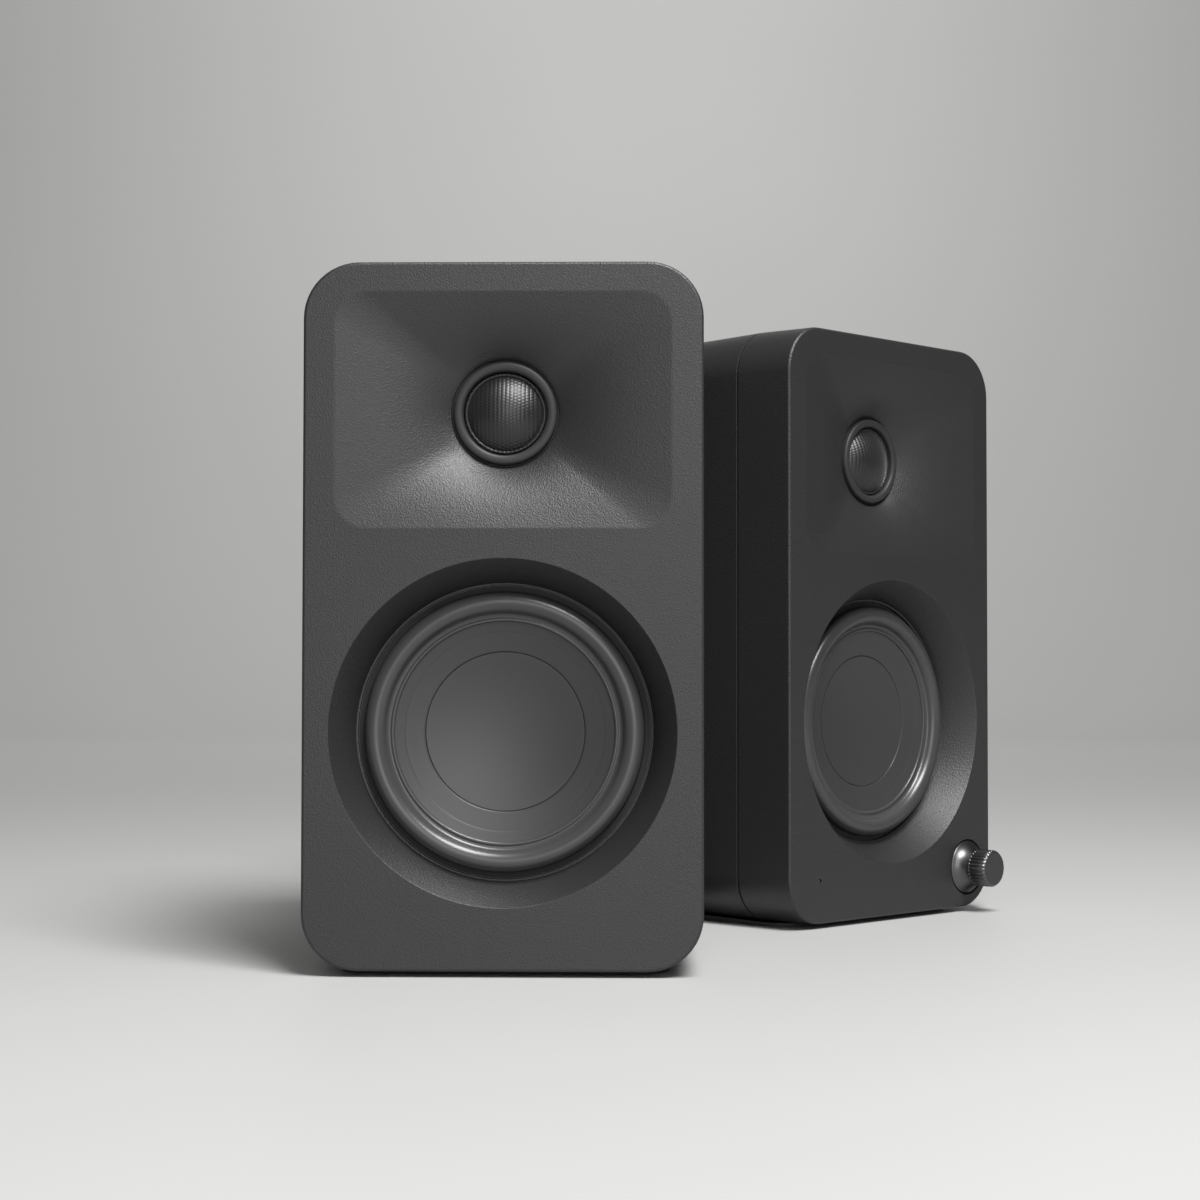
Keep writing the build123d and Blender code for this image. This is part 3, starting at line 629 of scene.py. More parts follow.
def horn_walls(bm, s):
    """Waveguide: the mouth's outline is drawn in towards the round throat and back, more steeply near it."""
    lip = 0.016
    shares = [-lip, -lip / 2, 0.0, lip / 2, lip, 0.04, 0.08, 0.13, 0.19, 0.26, 0.34, 0.42, 0.5, 0.58, 0.66,
              0.73, 0.8, 0.86, 0.91, 0.95, 0.98, 1.0]

    def back(share):
        if share < lip:
            return 0.5 * s.horn_depth * (share + lip) ** 2 / (4 * lip)
        return s.horn_depth * (0.5 * share + 0.5 * share**3)

    loop = outline(bm, s.horn_width, s.horn_height, s.horn_corner, 0.0, s.tweeter_up, segments=14,
                   flat_cuts=34)
    axis = Vector((0, 0, s.tweeter_up))
    for vert in {vert for edge in loop for vert in edge.verts}:
        away = vert.co - axis
        vert.co = axis + away.normalized() * (s.throat + (away.length - s.throat) * (1 + lip))
    first, previous = loop, -lip
    for share in shares[1:] + [1.06, 1.12]:
        verts, loop = drawn_on(bmesh.ops.extrude_edge_only(bm, edges=loop)["geom"])
        inside = min(share, 1.0)
        for vert in verts:
            away = Vector((vert.co.x, 0, vert.co.z - s.tweeter_up))
            start = max(1.0 - previous, 1e-9)
            reach = (away.length - s.throat) * (1.0 - inside) / start if previous < 1.0 else 0.0
            vert.co = axis + away.normalized() * (s.throat + reach)
            vert.co.y = back(inside) + (4.0 * (share - 1.0) / 0.12 if share > 1 else 0.0)
        previous = inside
    return first


def baffle(side):
    """Front moulding: flat face, waveguide, bell-mouthed recess, and the walls back to the seam."""
    s = sizes()
    bm = bmesh.new()
    mouth = horn_walls(bm, s)
    middle = (s.rim + s.ledge) / 2 - 0.25
    wall = arc((s.rim - 0.06, 0.14), (middle, s.ledge_depth / 2 - 0.2),
               (s.ledge + 0.12, s.ledge_depth - 0.55), 18)
    recess = [(s.rim + 0.14, 0.0), (s.rim + 0.04, 0.03)] + wall
    recess += [(s.ledge - inset, s.ledge_depth + depth) for inset, depth in (
        (0.02, -0.3), (0.22, -0.22), (0.42, -0.2), (0.52, -0.1), (0.54, 2.2))]
    spun(bm, recess, s.woofer_up, steps=160)
    holes = [mouth, rim_loop(bm, s.rim + 0.14, 0.0, s.woofer_up)]
    if side == "active":
        well = [(8.95, 0.0), (8.78, 0.04), (8.69, 0.14), (8.66, 0.3), (8.66, 3.2), (8.5, 3.4), (3.7, 3.4),
                (3.6, 3.5), (3.6, 6.0)]
        pin_hole = [(0.86, 0.0), (0.72, 0.04), (0.66, 0.16), (0.65, 3.0)]
        lamp_u, lamp_up = LAMP_AT
        spun(bm, well, s.knob_up, s.knob_u, 72)
        spun(bm, pin_hole, lamp_up, lamp_u, 24)
        holes += [rim_loop(bm, *well[0], s.knob_up, s.knob_u), rim_loop(bm, *pin_hole[0], lamp_up, lamp_u)]
    loops = []
    for t in (0, 0.32, 0.65, 0.98, 1.3, pi / 2):
        back_off, depth = s.edge * (1 - sin(t)), s.edge * (1 - cos(t))
        grow = 2 * (depth * s.slope - back_off)
        loops.append(outline(bm, s.width + grow, s.height + grow, s.corner - back_off, depth, s.middle))
    fill(bm, loops[0], *holes)
    for depth, back_off in (
            (s.seam - 0.3, 0.0), (s.seam - 0.1, 0.06), (s.seam, 0.25), (s.seam, 2.6), (8.0, 2.6)):
        grow = 2 * (depth * s.slope - back_off)
        loops.append(outline(bm, s.width + grow, s.height + grow, s.corner + grow / 2, depth, s.middle))
    bridge(bm, *loops)
    settle(bm, f"{side}_baffle", side, f"{side}_cabinet", "Cabinet plastic",
           [f"{side}_front_shell"], facing=(0, -1, 0), sharp=38.0)


def tub(side):
    """Rear moulding: drafted walls, rounded back, and the openings for port, panel, screws and thread."""
    s = sizes()
    bm = bmesh.new()
    wide, tall, up = PANEL[side]
    start = s.rear_start

    def wall_loop(depth, back_off):
        grow = -2 * ((depth - start) * s.slope + back_off)
        radius = max(s.seam_corner + grow / 2, 0.4)
        return outline(bm, s.seam_width + grow, s.seam_height + grow, radius, depth, s.middle)

    loops = [wall_loop(start + past, back_off)
             for past, back_off in ((6.0, 2.6), (0.0, 2.6), (0.0, 0.25), (0.1, 0.06), (0.3, 0.0))]
    low = s.depth - s.back_edge
    for i in range(11):
        t = pi / 2 * i / 10
        loops.append(wall_loop(low + s.back_edge * sin(t), s.back_edge * (1 - cos(t))))
    bridge(bm, *loops)
    holes = []
    port_seat = behind(s.depth, [(20.0, 0.0), (19.3, 0.0), (19.2, -0.1), (19.2, -1.2), (16.2, -1.2),
                                 (16.2, -4.0)])
    spun(bm, port_seat, s.port_up, steps=96)
    holes.append(rim_loop(bm, *port_seat[0], s.port_up))
    screw_way = behind(s.depth, [(3.9, 0.0), (3.5, -0.05), (3.32, -0.2)])
    screw_way += [(3.3, CASE_SCREW_SEAT + 0.1), (1.4, CASE_SCREW_SEAT)]
    for u, height in case_screw_places():
        spun(bm, screw_way, height, u, 32)
        holes.append(rim_loop(bm, *screw_way[0], height, u))
    seat = [outline(bm, wide + 2 * out, tall + 2 * out, 3.0 + out, depth, up, segments=6)
            for out, depth in ((0.5, s.depth), (0.12, s.depth), (0.0, s.depth - 0.12), (0.0, s.depth - 1.6),
                               (-6.0, s.depth - 1.6), (-6.0, s.depth - 13.0))]
    bridge(bm, *seat)
    holes.append(seat[0])
    fill(bm, loops[-1], *holes)
    under = max((face for face in bm.faces if abs(face.normal.z) > 0.9 and face.calc_center_median().z < 5),
                key=lambda face: face.calc_area())
    edges = list(under.edges)
    point, level = under.verts[0].co.copy(), under.normal.copy()
    bmesh.ops.delete(bm, geom=[under], context="FACES_ONLY")
    before = set(bm.edges)
    bmesh.ops.create_circle(bm, segments=48, radius=6.0, matrix=Matrix.Translation((0, s.depth / 2, 0)))
    hole = new_edges(bm, before)
    for vert in {vert for edge in hole for vert in edge.verts}:
        flat = Vector((vert.co.x, vert.co.y, 0)) - point
        vert.co.z = point.z - (level.x * flat.x + level.y * flat.y) / level.z
    fill(bm, edges, hole)
    settle(bm, f"{side}_tub", side, f"{side}_cabinet", "Cabinet plastic",
           [f"{side}_rear_shell"], facing=(0, 1, 0), sharp=38.0)


def seam_strip(side):
    """Dark strip set back in the parting line."""
    s = sizes()
    bm = bmesh.new()
    loops = [outline(bm, s.seam_width - 1.2 - inset, s.seam_height - 1.2 - inset,
                     s.seam_corner - 0.6 - inset / 2, s.seam + back, s.middle)
             for inset, back in ((3.4, 0.02), (0.2, 0.02), (0.0, 0.12), (0.0, 0.38), (0.2, 0.48),
                                 (3.4, 0.48), (3.4, 0.02))]
    bridge(bm, *loops)
    settle(bm, f"{side}_seam_strip", side, f"{side}_cabinet", "Base rubber",
           [f"{side}_seam_gasket"])


def foot_pad(side):
    """Rubber sheet under the cabinet, with rounded edges and a hole round the stand thread."""
    s = sizes()
    bm = bmesh.new()
    before = set(bm.edges)
    grid = bmesh.ops.create_grid(bm, x_segments=1, y_segments=1, size=0.5, matrix=Matrix.Translation(
        (0, s.depth / 2, -s.pad)) @ Matrix.Diagonal((83.4, 114.4, 1, 1)))
    bmesh.ops.bevel(bm, geom=grid["verts"], offset=8.7, offset_type="OFFSET", segments=10, profile=0.5,
                    affect="VERTICES", material=-1)
    outer = new_edges(bm, before)
    bmesh.ops.delete(bm, geom=list(bm.faces), context="FACES_ONLY")
    before = set(bm.edges)
    bmesh.ops.create_circle(bm, segments=48, radius=6.3, matrix=Matrix.Translation((0, s.depth / 2, -s.pad)))
    hole = new_edges(bm, before)
    fill(bm, outer, hole)
    for loop, out in ((outer, 0.3), (hole, -0.2)):
        for rise, grow in ((0.1, 0.7), (0.25, 0.3), (0.9, 0.0)):
            verts, loop = drawn_on(bmesh.ops.extrude_edge_only(bm, edges=loop)["geom"])
            for vert in verts:
                flat = Vector((vert.co.x, vert.co.y - s.depth / 2, 0))
                vert.co += flat.normalized() * out * grow
                lift = 0.0 if rise < 0.5 else max(0.0, abs(vert.co.y - s.seam) - 12) * s.slope
                vert.co.z += rise + lift
    settle(bm, f"{side}_foot_pad", side, f"{side}_cabinet", "Base rubber",
           [f"{side}_base_pad"], facing=(0, 0, -1))


def port_flare(side):
    """Flared bass port with a soft lip on the back face."""
    s = sizes()
    bm = bmesh.new()
    back, bore = s.depth, s.port
    lip = arc((bore, back - 4.0), (bore + 1.17, back - 1.17), (bore + 4.0, back - 0.02), 12)
    profile = [(bore, back - 69.6)] + lip
    profile += [(bore + thick, back + depth) for thick, depth in (
        (4.7, 0.0), (4.95, -0.1), (5.0, -0.3), (5.0, -1.2), (2.0, -1.2), (2.0, -69.8), (0.2, -70.0))]
    spun(bm, profile, s.port_up, steps=128, closed=True)
    settle(bm, f"{side}_port_flare", side, f"{side}_cabinet", "Port plastic",
           [f"{side}_port_tube"])


def thread_bush(side):
    """Brass bush under the cabinet, with its thread's grooves."""
    s = sizes()
    bm = bmesh.new()
    bottom, radius, pitch = -s.pad, 2.55, 1.27
    profile = [(0.0, bottom + 9.0), (2.3, bottom + 8.8), (radius, bottom + 8.4)]
    turns = 5
    for i in range(turns):
        top = bottom + 8.0 - i * pitch
        profile += [(radius, top), (3.05, top - 0.45), (3.05, top - 0.6), (radius, top - 1.05)]
    profile += behind(bottom, [(radius, 0.9), (3.2, 0.05), (3.4, 0.0), (5.3, 0.0), (5.5, 0.2), (5.5, 0.8),
                               (4.5, 0.8), (4.5, 10.0), (0.0, 10.0)])
    verts = [bm.verts.new((r, s.depth / 2, z)) for r, z in profile]
    edges = [bm.edges.new(pair) for pair in zip(verts, verts[1:])]
    bmesh.ops.spin(bm, geom=verts + edges, cent=(0, s.depth / 2, 0), axis=(0, 0, 1), angle=2 * pi, steps=64,
                   use_merge=True)
    settle(bm, f"{side}_thread_bush", side, f"{side}_cabinet", "Stand brass",
           [f"{side}_stand_insert"])


def fixings(side):
    """Pan-head screws: case, woofer, tweeter and panel, all alike, with a six-lobed drive."""
    s = sizes()
    bm = bmesh.new()
    places = [(u, height, CASE_SCREW_SEAT) for u, height in case_screw_places()]
    places += [(u, s.woofer_up + v, WOOFER_SCREW_SEAT) for u, v in ring_places(4, 43.5, pi / 4)]
    places += [(u, s.tweeter_up + v, TWEETER_SCREW_SEAT) for u, v in ring_places(3, 19.2, pi / 2)]
    places += [(u, height, s.depth) for u, height in panel_screw_places(side)]
    for u, height, seat in places:
        top = seat + 1.8
        head = behind(seat, [(0.0, -10.0), (0.7, -9.6), (1.25, -8.4), (1.25, 0.0), (2.7, 0.0), (2.75, 0.1)])
        head += arc((2.75, seat + 0.5), (2.3, seat + 1.35), (1.5, top), 4)
        head += behind(top, [(1.15, -0.02), (1.05, -0.12), (0.95, -1.0), (0.0, -1.1)])
        verts = spun(bm, head, height, u, 36)
        for vert in verts:
            away = Vector((vert.co.x - u, 0, vert.co.z - height))
            if vert.co.y > seat + 0.6 and 0.5 < away.length < 1.2:
                turn = Vector((1, 0)).angle_signed(Vector((away.x, away.z))) if away.length else 0.0
                vert.co += away.normalized() * 0.16 * cos(6 * turn)
    settle(bm, f"{side}_fixings", side, f"{side}_cabinet", "Screw steel",
           [f"{side}_screws"])


# ---- drivers --------------------------------------------------------------------------------------------
def dish_at(s, radius):
    return s.dish_depth - (s.dish - sqrt(s.dish**2 - radius**2))


def surround(side):
    """Half-roll of rubber: clamped flange, roll, and a bead on the cone's edge. It bends between the two."""
    s = sizes()
    bm = bmesh.new()
    roll = arc((35.3, 10.3), (32.45, 7.0), (30.1, 8.75), 24)
    foot = arc((29.98, 9.0), (29.6, 9.45), (29.0, 9.68), 5)
    bead = arc((28.78, 9.66), (28.35, 9.44), (27.85, 9.76), 6)
    under = arc((30.0, 10.5), (32.5, 7.75), (35.0, 10.5), 14)
    profile = [(36.85, 10.95), (36.75, 10.9), (35.7, 10.9), (35.45, 10.8)] + roll + foot + bead
    profile += [(27.75, 10.08), (27.9, 10.3), (28.9, 10.75)] + under + [(35.2, 11.2), (36.85, 11.2)]
    spun(bm, profile, s.woofer_up, steps=160, closed=True)
    piece = settle(bm, f"{side}_roll_surround", side, None, "Surround rubber",
                   [f"{side}_woofer_surround"], sharp=50.0)
    place = placing(side)
    held = place @ Vector((36.0, 10.0, s.woofer_up))
    moved = place @ Vector((29.0, 10.0, s.woofer_up))
    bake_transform(piece, f"{side}_cabinet", f"{side}_cone", start=held, end=moved)
    kept = piece.data.attributes[LOCAL].data
    for share, point in zip(piece.data.attributes["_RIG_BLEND"].data, kept):
        radius = hypot(point.vector.x, point.vector.z - s.woofer_up)
        t = min(max((35.9 - radius) / (35.9 - 29.2), 0.0), 1.0)
        share.value = t * t * (3 - 2 * t)


def cone_ring(side):
    """Dished cone with a faint step, turned down at its inner edge to leave a fine seam round the cap."""
    s = sizes()
    bm = bmesh.new()
    inner = s.cap + 0.14
    radii = [28.6, 28.0, 27.2, 26.4, 25.7, 25.32]
    profile = [(r, dish_at(s, r)) for r in radii]
    profile += [(25.2, dish_at(s, 25.2) + 0.035), (25.05, dish_at(s, 25.05) + 0.045)]
    profile += [(r, dish_at(s, r) + 0.02) for r in (24.6, 23.8, 23.0, 22.2, 21.4, 20.8)]
    profile += behind(dish_at(s, inner), [(inner + 0.12, 0.0), (inner + 0.02, 0.08), (inner, 0.5)])
    profile += [(18.6, 13.3), (10.45, 20.0), (10.45, 21.2), (19.4, 14.2), (28.6, dish_at(s, 28.6) + 0.8)]
    spun(bm, profile, s.woofer_up, steps=160, closed=True)
    settle(bm, f"{side}_cone_ring", side, f"{side}_cone", "Cone polymer",
           [f"{side}_woofer_cone"], sharp=50.0)


def centre_cap(side):
    """Dust cap that carries on the cone's dish."""
    s = sizes()
    bm = bmesh.new()
    edge = s.cap - 0.02
    front = [(edge * i / 16, dish_at(s, edge * i / 16)) for i in range(16)]
    front += [(edge - 0.1, dish_at(s, edge - 0.1))]
    front += behind(dish_at(s, edge), [(edge - 0.02, 0.05), (edge, 0.16)])
    back = [(edge, dish_at(s, edge) + 0.5), (edge / 2, dish_at(s, edge / 2) + 0.5), (0.0, s.dish_depth + 0.5)]
    spun(bm, front + back, s.woofer_up, steps=128)
    settle(bm, f"{side}_centre_cap", side, f"{side}_cone", "Cone polymer",
           [f"{side}_woofer_dust_cap"], sharp=50.0)


def throat_ring(side):
    """Raised ring round the dome, with a fine lip at the throat and the sleeve behind it."""
    s = sizes()
    bm = bmesh.new()
    profile = [(13.66, 11.6), (13.62, 10.05), (13.5, 9.9), (13.36, 9.92), (13.3, 10.15), (13.18, 10.2),
               (13.1, 9.5)]
    profile += arc((13.06, 9.1), (12.9, 8.62), (12.5, 8.36), 5) + [(12.0, 8.28), (11.5, 8.32)]
    profile += arc((11.1, 8.45), (10.78, 8.75), (10.64, 9.2), 5)
    profile += [(10.6, 9.5), (10.6, 13.8), (14.9, 13.8), (14.9, 20.0), (22.4, 20.0), (22.4, 18.0),
                (16.2, 18.0), (16.2, 11.8), (13.66, 11.8)]
    spun(bm, profile, s.tweeter_up, steps=128, closed=True)
    settle(bm, f"{side}_throat_ring", side, f"{side}_cabinet", "Tweeter ring",
           [f"{side}_tweeter_frame"], sharp=40.0)


def silk_dome(side):
    """Soft dome with its own little edge roll."""
    s = sizes()
    bm = bmesh.new()
    dome = arc((0.0, 6.3), (4.9, 7.22), (9.35, 9.85), 24)
    roll = arc((9.45, 9.95), (9.9, 9.62), (10.3, 9.95), 6)
    back = [(10.3, 10.3), (9.1, 10.3), (8.6, 9.75), (4.7, 7.55), (0.0, 6.66)]
    spun(bm, dome + roll + back, s.tweeter_up, steps=128)
    settle(bm, f"{side}_silk_dome", side, f"{side}_dome", "Dome silk",
           [f"{side}_tweeter_dome"], sharp=45.0)


# ---- front controls -------------------------------------------------------------------------------------
def knob_piece():
    """Flared and fluted knob, with a flat end."""
    s = sizes()
    bm = bmesh.new()
    front, flutes = -s.knob_out, 30
    flare = arc((8.2, 0.05), (6.55, -1.55), (5.66, -4.1), 14)
    profile = [(0.0, -8.25), (3.05, -8.25), (3.05, 1.0), (5.2, 1.0), (5.2, 2.4), (8.0, 2.4), (8.25, 2.25),
               (8.3, 2.0), (8.3, 0.4), (8.27, 0.15)] + flare
    profile += [(5.68, -4.35), (5.7, -4.55), (5.72, -4.75), (5.76, -5.0), (5.76, -7.3), (5.76, -9.7),
                (5.7, -9.76), (5.46, -10.0), (5.2, -10.26), (5.1, front), (5.0, front), (0.0, front)]
    verts = spun(bm, profile, s.knob_up, s.knob_u, flutes * 8)
    for vert in verts:
        away = Vector((vert.co.x - s.knob_u, 0, vert.co.z - s.knob_up))
        if vert.co.y < -4.52 and away.length > 5.3:
            turn = Vector((1, 0)).angle_signed(Vector((away.x, away.z)))
            fade = min(1.0, (away.length - 5.3) / 0.3)
            vert.co -= away.normalized() * 0.16 * (1 - cos(flutes * turn)) * fade
    settle(bm, "fluted_knob", "active", "knob", "Anodised knob", ["volume_knob"],
           sharp=50.0)


def lamp_piece():
    """Clear rod behind the pin-hole."""
    bm = bmesh.new()
    u, up = LAMP_AT
    spun(bm, [(0.0, 0.42), (0.4, 0.48), (0.58, 0.66), (0.6, 0.9), (0.6, 3.05), (1.5, 3.05), (1.6, 3.15),
              (1.6, 14.25), (0.0, 14.25)], up, u, 32)
    settle(bm, "lamp_rod", "active", "active_cabinet", "Clear rod", ["light_pipe"])


# ---- connectors -----------------------------------------------------------------------------------------
def back_plate(side):
    """Connector panel: flat plate with softened edges, let into the back, with its cut-outs."""
    s = sizes()
    bm = bmesh.new()
    wide, tall, up = PANEL[side]
    back = s.depth

    def cut(out_shape):
        loops = [out_shape(out, depth)
                 for out, depth in behind(back, ((0.22, 0.0), (0.05, -0.05), (0.0, -0.2), (0.0, -1.6)))]
        bridge(bm, *loops)
        return loops[0]

    def square(w, h, r, u, height):
        return lambda out, depth: outline(bm, w + 2 * out, h + 2 * out, r + out, depth, height, u, segments=6)

    def round_hole(r, u, height):
        return lambda out, depth: circle(bm, r + out, depth, height, u, 40)

    shapes = [square(17.2, 11.2, 0.5, *LINK_AT[side])]
    if side == "active":
        shapes += [round_hole(5.0, *place) for place in PHONO_AT]
        shapes += [square(9.4, 3.7, 1.6, *USB_AT), round_hole(5.2, *POWER_AT)]
        shapes += [square(8.0, 3.4, 0.4, *SWAP_AT)]
    holes = [cut(shape) for shape in shapes]
    rims = [outline(bm, wide - 0.4 - 2 * inset, tall - 0.4 - 2 * inset, 2.8 - inset, depth, up, segments=6)
            for inset, depth in behind(back, ((0.4, 0.0), (0.1, -0.1), (0.0, -0.4), (0.0, -1.6)))]
    bridge(bm, *rims)
    fill(bm, rims[0], *holes)
    settle(bm, f"{side}_back_plate", side, f"{side}_cabinet", "Port plastic",
           [f"{side}_connector_panel"], facing=(0, 1, 0), sharp=38.0)


def link_piece(side):
    """Four-pole socket: shrouded mouth with four pins."""
    s = sizes()
    bm = bmesh.new()
    u, up = LINK_AT[side]
    back = s.depth + 0.6
    shape = [(17.0, 11.0, 0.6, -15.0), (17.0, 11.0, 0.6, -0.3), (16.8, 10.8, 0.5, -0.06),
             (16.4, 10.4, 0.4, 0.0), (13.5, 7.5, 0.5, 0.0), (13.1, 7.1, 0.4, -0.12),
             (13.0, 7.0, 0.35, -0.4), (13.0, 7.0, 0.35, -9.0)]
    rounded_mouth(bm, shape, back, u, up, 4)
    box(bm, 2.4, 6.0, 0.8, u, back - 6.2, up + 3.05, 0.15)
    settle(bm, f"{side}_link_mouth", side, f"{side}_cabinet", "Socket plastic",
           [f"{side}_link_socket"])
    bm = bmesh.new()
    pin = behind(s.depth, [(0.0, -4.5), (0.3, -4.6), (0.5, -5.0), (0.5, -8.6), (0.0, -8.6)])
    for i in range(4):
        spun(bm, pin, up, u - 4.8 + 3.2 * i, 20)
    settle(bm, f"{side}_link_pins", side, f"{side}_cabinet", "Plated contact")


def rounded_mouth(bm, shape, back, u, up, segments):
    """Socket whose walls follow rounded rectangles (width, height, rounding, depth), closed at both ends."""
    loops = [outline(bm, wide, tall, radius, back + depth, up, u, segments=segments)
             for wide, tall, radius, depth in shape]
    bridge(bm, *loops)
    fill(bm, loops[0])
    fill(bm, loops[-1])


def phono_pieces():
    """Pair of phono sockets: plated sleeves, coloured insulators and their common body."""
    back = sizes().depth
    bm = bmesh.new()
    sleeve = behind(back, [(2.9, 1.0), (2.9, 7.2), (3.05, 7.42), (3.3, 7.5), (3.85, 7.5), (4.08, 7.4),
                           (4.15, 7.15), (4.15, 1.1), (4.3, 0.95), (4.3, 0.3), (4.75, 0.0), (4.8, -0.1),
                           (4.8, -8.0), (2.9, -8.0)])
    for u, up in PHONO_AT:
        spun(bm, sleeve, up, u, 64, closed=True)
    settle(bm, "phono_sleeves", "active", "active_cabinet", "Plated contact")
    bm = bmesh.new()
    u, up = PHONO_BODY_AT
    box(bm, 29.6, 8.6, 11.6, u, SOCKET_BODY_FRONT, up, 0.4)
    settle(bm, "phono_body", "active", "active_cabinet", "Socket plastic", ["rca_jacks"])
    core = behind(back, [(1.7, -8.0), (1.7, 6.2), (1.85, 6.45), (2.7, 6.5), (2.86, 6.3), (2.86, -8.0)])
    for (u, up), name, tint in zip(PHONO_AT, ("left", "right"), ("White insulator", "Red insulator")):
        bm = bmesh.new()
        spun(bm, core, up, u, 48, closed=True)
        settle(bm, f"phono_insulator_{name}", "active", "active_cabinet", tint)


def usb_piece():
    """Reversible data and power socket: thin oval shell round a tongue."""
    s = sizes()
    bm = bmesh.new()
    u, up = USB_AT
    shape = [(9.0, 3.3, 1.5, -16.0), (9.0, 3.3, 1.5, -0.15), (8.9, 3.2, 1.45, 0.0), (8.5, 2.8, 1.3, 0.0),
             (8.4, 2.7, 1.25, -0.15), (8.4, 2.7, 1.25, -6.6)]
    rounded_mouth(bm, shape, s.depth - 0.2, u, up, 8)
    box(bm, 6.6, 5.4, 0.7, u, s.depth - 6.9, up, 0.12)
    settle(bm, "data_socket", "active", "active_cabinet", "Plated contact", ["usb_socket"])


def power_piece():
    """Round low-voltage power inlet with a centre pin."""
    bm = bmesh.new()
    u, up = POWER_AT
    back = sizes().depth - 0.2
    mouth = behind(back, [(0.0, -9.6), (3.1, -9.6), (3.1, -0.4), (3.25, -0.1), (3.5, 0.0), (4.7, 0.0),
                          (4.93, -0.1), (5.0, -0.35), (5.0, -6.0), (0.0, -14.0)])
    spun(bm, mouth, up, u, 64)
    box(bm, 10.8, 11.6, 11.8, u, SOCKET_BODY_FRONT, up, 0.3)
    settle(bm, "power_mouth", "active", "active_cabinet", "Socket plastic", ["power_inlet"])
    bm = bmesh.new()
    spun(bm, behind(back, [(0.0, -1.0), (0.6, -1.1), (0.95, -1.6), (1.0, -9.6), (0.0, -9.6)]), up, u, 32)
    settle(bm, "power_pin", "active", "active_cabinet", "Plated contact")


def swap_piece():
    """Thumb piece of the left and right swap switch, ribbed for grip."""
    s = sizes()
    bm = bmesh.new()
    u, up = SWAP_AT
    u -= SWAP_TRAVEL / 2
    box(bm, 2.6, 6.8, 2.6, u, s.depth - 6.6, up, 0.2)
    for step in (-0.75, 0.0, 0.75):
        box(bm, 0.32, 0.4, 2.3, u + step, s.depth, up, 0.1)
    box(bm, 4.3, 1.9, 4.3, u, s.depth - 7.95, up, 0.2)
    settle(bm, "swap_thumb", "active", "swap_switch", "Socket plastic", ["swap_slider"])


# ---- finishes for the pieces that keep their CAD shape ----------------------------------------------------
INNER = {
    "woofer_frame": "Painted steel", "woofer_coil": "Voice coil copper", "woofer_spider": "Spider cloth",
    "woofer_top_plate": "Painted steel", "woofer_magnet": "Ferrite", "woofer_yoke": "Painted steel",
    "tweeter_coil": "Voice coil copper", "tweeter_cup": "Painted steel", "tweeter_magnet": "Ferrite",
    "leads": "Lead sleeve",
}
ELECTRONICS = {
    "amp_board": "Circuit board", "control_board": "Circuit board", "heat_sink": "Bare aluminium",
    "encoder_body": "Plated contact", "encoder_plunger": "Socket plastic", "encoder_shaft": "Plated contact",
}


def dress(name, surface):
    """Give a CAD piece its finish."""
    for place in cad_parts[name].material_slots:
        place.material = named(surface)


# ---- operators --------------------------------------------------------------------------------------------
class SPEAKERS_OT_finishes(bpy.types.Operator):
    """Make the shared node groups and every material"""
    bl_idname = "speakers.finishes"
    bl_label = "Finishes"

    def execute(self, context):
        tints = context.scene.speaker_colours
        s = sizes()
        for make in (grain_group, dust_group, weave_group, turned_group, wear_group):
            make()
        moulded("Cabinet plastic", tuple(tints.shell), 0.40, 0.48, grain=2300.0, relief=0.85, dust=0.04)
        moulded("Base rubber", (0.018, 0.018, 0.018), 0.6, 0.8, grain=1500.0, relief=0.3, dust=0.2)
        surround_finish("Surround rubber", tuple(tints.rubber), s.woofer_up)
        moulded("Port plastic", (0.024, 0.024, 0.025), 0.34, 0.44, grain=3200.0, relief=0.15, dust=0.12)
        moulded("Socket plastic", (0.018, 0.018, 0.019), 0.4, 0.5, grain=3600.0, relief=0.1, dust=0.12)
        moulded("Lead sleeve", (0.025, 0.025, 0.026), 0.45, 0.6, grain=2000.0, relief=0.1)
        moulded("White insulator", (0.62, 0.61, 0.58), 0.35, 0.45, grain=3600.0, relief=0.05)
        moulded("Red insulator", (0.45, 0.02, 0.02), 0.35, 0.45, grain=3600.0, relief=0.05)
        moulded("Clear rod", (0.30, 0.30, 0.31), 0.08, 0.14, grain=800.0, relief=0.02, dust=0.0,
                Transmission_Weight=0.85, IOR=1.49)
        moulded("Ferrite", (0.03, 0.03, 0.032), 0.55, 0.75, grain=1500.0, relief=0.3)
        moulded("Painted steel", (0.022, 0.022, 0.023), 0.35, 0.48, grain=1800.0, relief=0.15)
        round_polymer("Cone polymer", tuple(tints.cone), 0.34, 0.44, s.woofer_up)
        round_polymer("Tweeter ring", tuple(tints.trim), 0.42, 0.52, s.tweeter_up, pitch=0.15,
                      Specular_IOR_Level=0.3)
        silk_finish("Dome silk", tuple(tints.silk), s.tweeter_up)
        knob_finish("Anodised knob", tuple(tints.knob), s.knob_u, s.knob_up)
        metal("Stand brass", (0.72, 0.47, 0.17), 0.22, 0.38)
        metal("Screw steel", (0.10, 0.10, 0.105), 0.28, 0.42)
        metal("Plated contact", (0.66, 0.64, 0.60), 0.2, 0.34)
        metal("Bare aluminium", (0.62, 0.62, 0.63), 0.3, 0.45)
        metal("Voice coil copper", (0.72, 0.30, 0.14), 0.25, 0.4)
        spider_finish("Spider cloth")
        printed_board("Circuit board")
        floor_finish("Pale floor", tuple(tints.floor))
        return {"FINISHED"}


